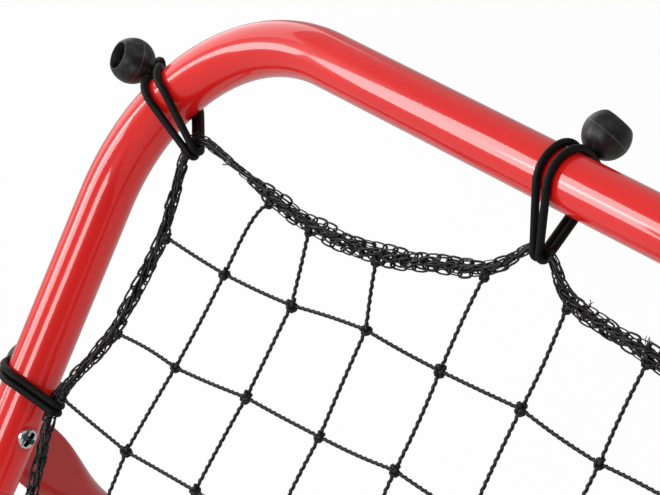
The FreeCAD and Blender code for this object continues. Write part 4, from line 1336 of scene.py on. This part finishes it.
for name, ((azimuth, elevation, distance), size, power, roll) in studio["lamps"].items():
    a, e = math.radians(azimuth), math.radians(elevation)
    heading = Vector((math.sin(a) * math.cos(e), -math.cos(a) * math.cos(e), math.sin(e)))
    areaLight(name, Vector(studio["aim"]) + distance * heading, studio["aim"], size, power, roll)
areaLight("topFill", **studio["topFill"])

world = bpy.data.worlds.new("studio")
bpy.context.scene.world = world
tree = emptyTree(world)
ray = addNode(tree, "ShaderNodeLightPath")
heading = addNode(tree, "ShaderNodeTexCoord")
toFlag = addNode(tree, "ShaderNodeVectorMath", {0: (heading, "Generated"), 1: studio["flagSide"]},
                 operation="DOT_PRODUCT")
surround = addNode(tree, "ShaderNodeMapRange", {
    "Value": (toFlag, "Value"), "From Min": studio["flagEdge"][0], "From Max": studio["flagEdge"][1],
    "To Min": studio["worldGloss"], "To Max": studio["flagGloss"]})
gloss = addNode(tree, "ShaderNodeMix", {
    "Factor": (ray, "Is Glossy Ray"), "A": studio["worldDiffuse"], "B": surround}, data_type="FLOAT")
seen = addNode(tree, "ShaderNodeMath", {0: (ray, "Is Camera Ray"), 1: (ray, "Is Transmission Ray")},
               operation="MAXIMUM")
level = addNode(tree, "ShaderNodeMix", {"Factor": seen, "A": gloss, "B": 1.0}, data_type="FLOAT")
sky = addNode(tree, "ShaderNodeBackground", {"Color": hexColour("#FFFFFF"), "Strength": level})
addNode(tree, "ShaderNodeOutputWorld", {"Surface": sky})

floorMaterial = bpy.data.materials.new("paintedFloorWhite")
tree = emptyTree(floorMaterial)
ray = addNode(tree, "ShaderNodeLightPath")
paint = addNode(tree, "ShaderNodeBsdfDiffuse", {"Color": hexColour("#E8E8E8")})
level = addNode(tree, "ShaderNodeMix", {
    "Factor": (ray, "Is Camera Ray"), "A": studio["floorGloss"], "B": 1.0}, data_type="FLOAT")
glow = addNode(tree, "ShaderNodeEmission", {"Color": hexColour("#FFFFFF"), "Strength": level})
direct = addNode(tree, "ShaderNodeMath", {0: (ray, "Is Camera Ray"), 1: (ray, "Is Glossy Ray")},
                 operation="MAXIMUM")
share = addNode(tree, "ShaderNodeMath", {0: direct, 1: studio["floorGlow"]}, operation="MULTIPLY")
mixed = addNode(tree, "ShaderNodeMixShader", {0: share, 1: paint, 2: glow})
addNode(tree, "ShaderNodeOutputMaterial", {"Surface": mixed})
half = studio["floorSize"] / 2
floor = makePiece("floor", [(-half, -half, 0), (half, -half, 0), (half, half, 0), (-half, half, 0)],
                  [(0, 1, 2, 3)], floorMaterial, flat=True)

bpy.context.scene.view_settings.view_transform = "Standard"
print("studio lit")
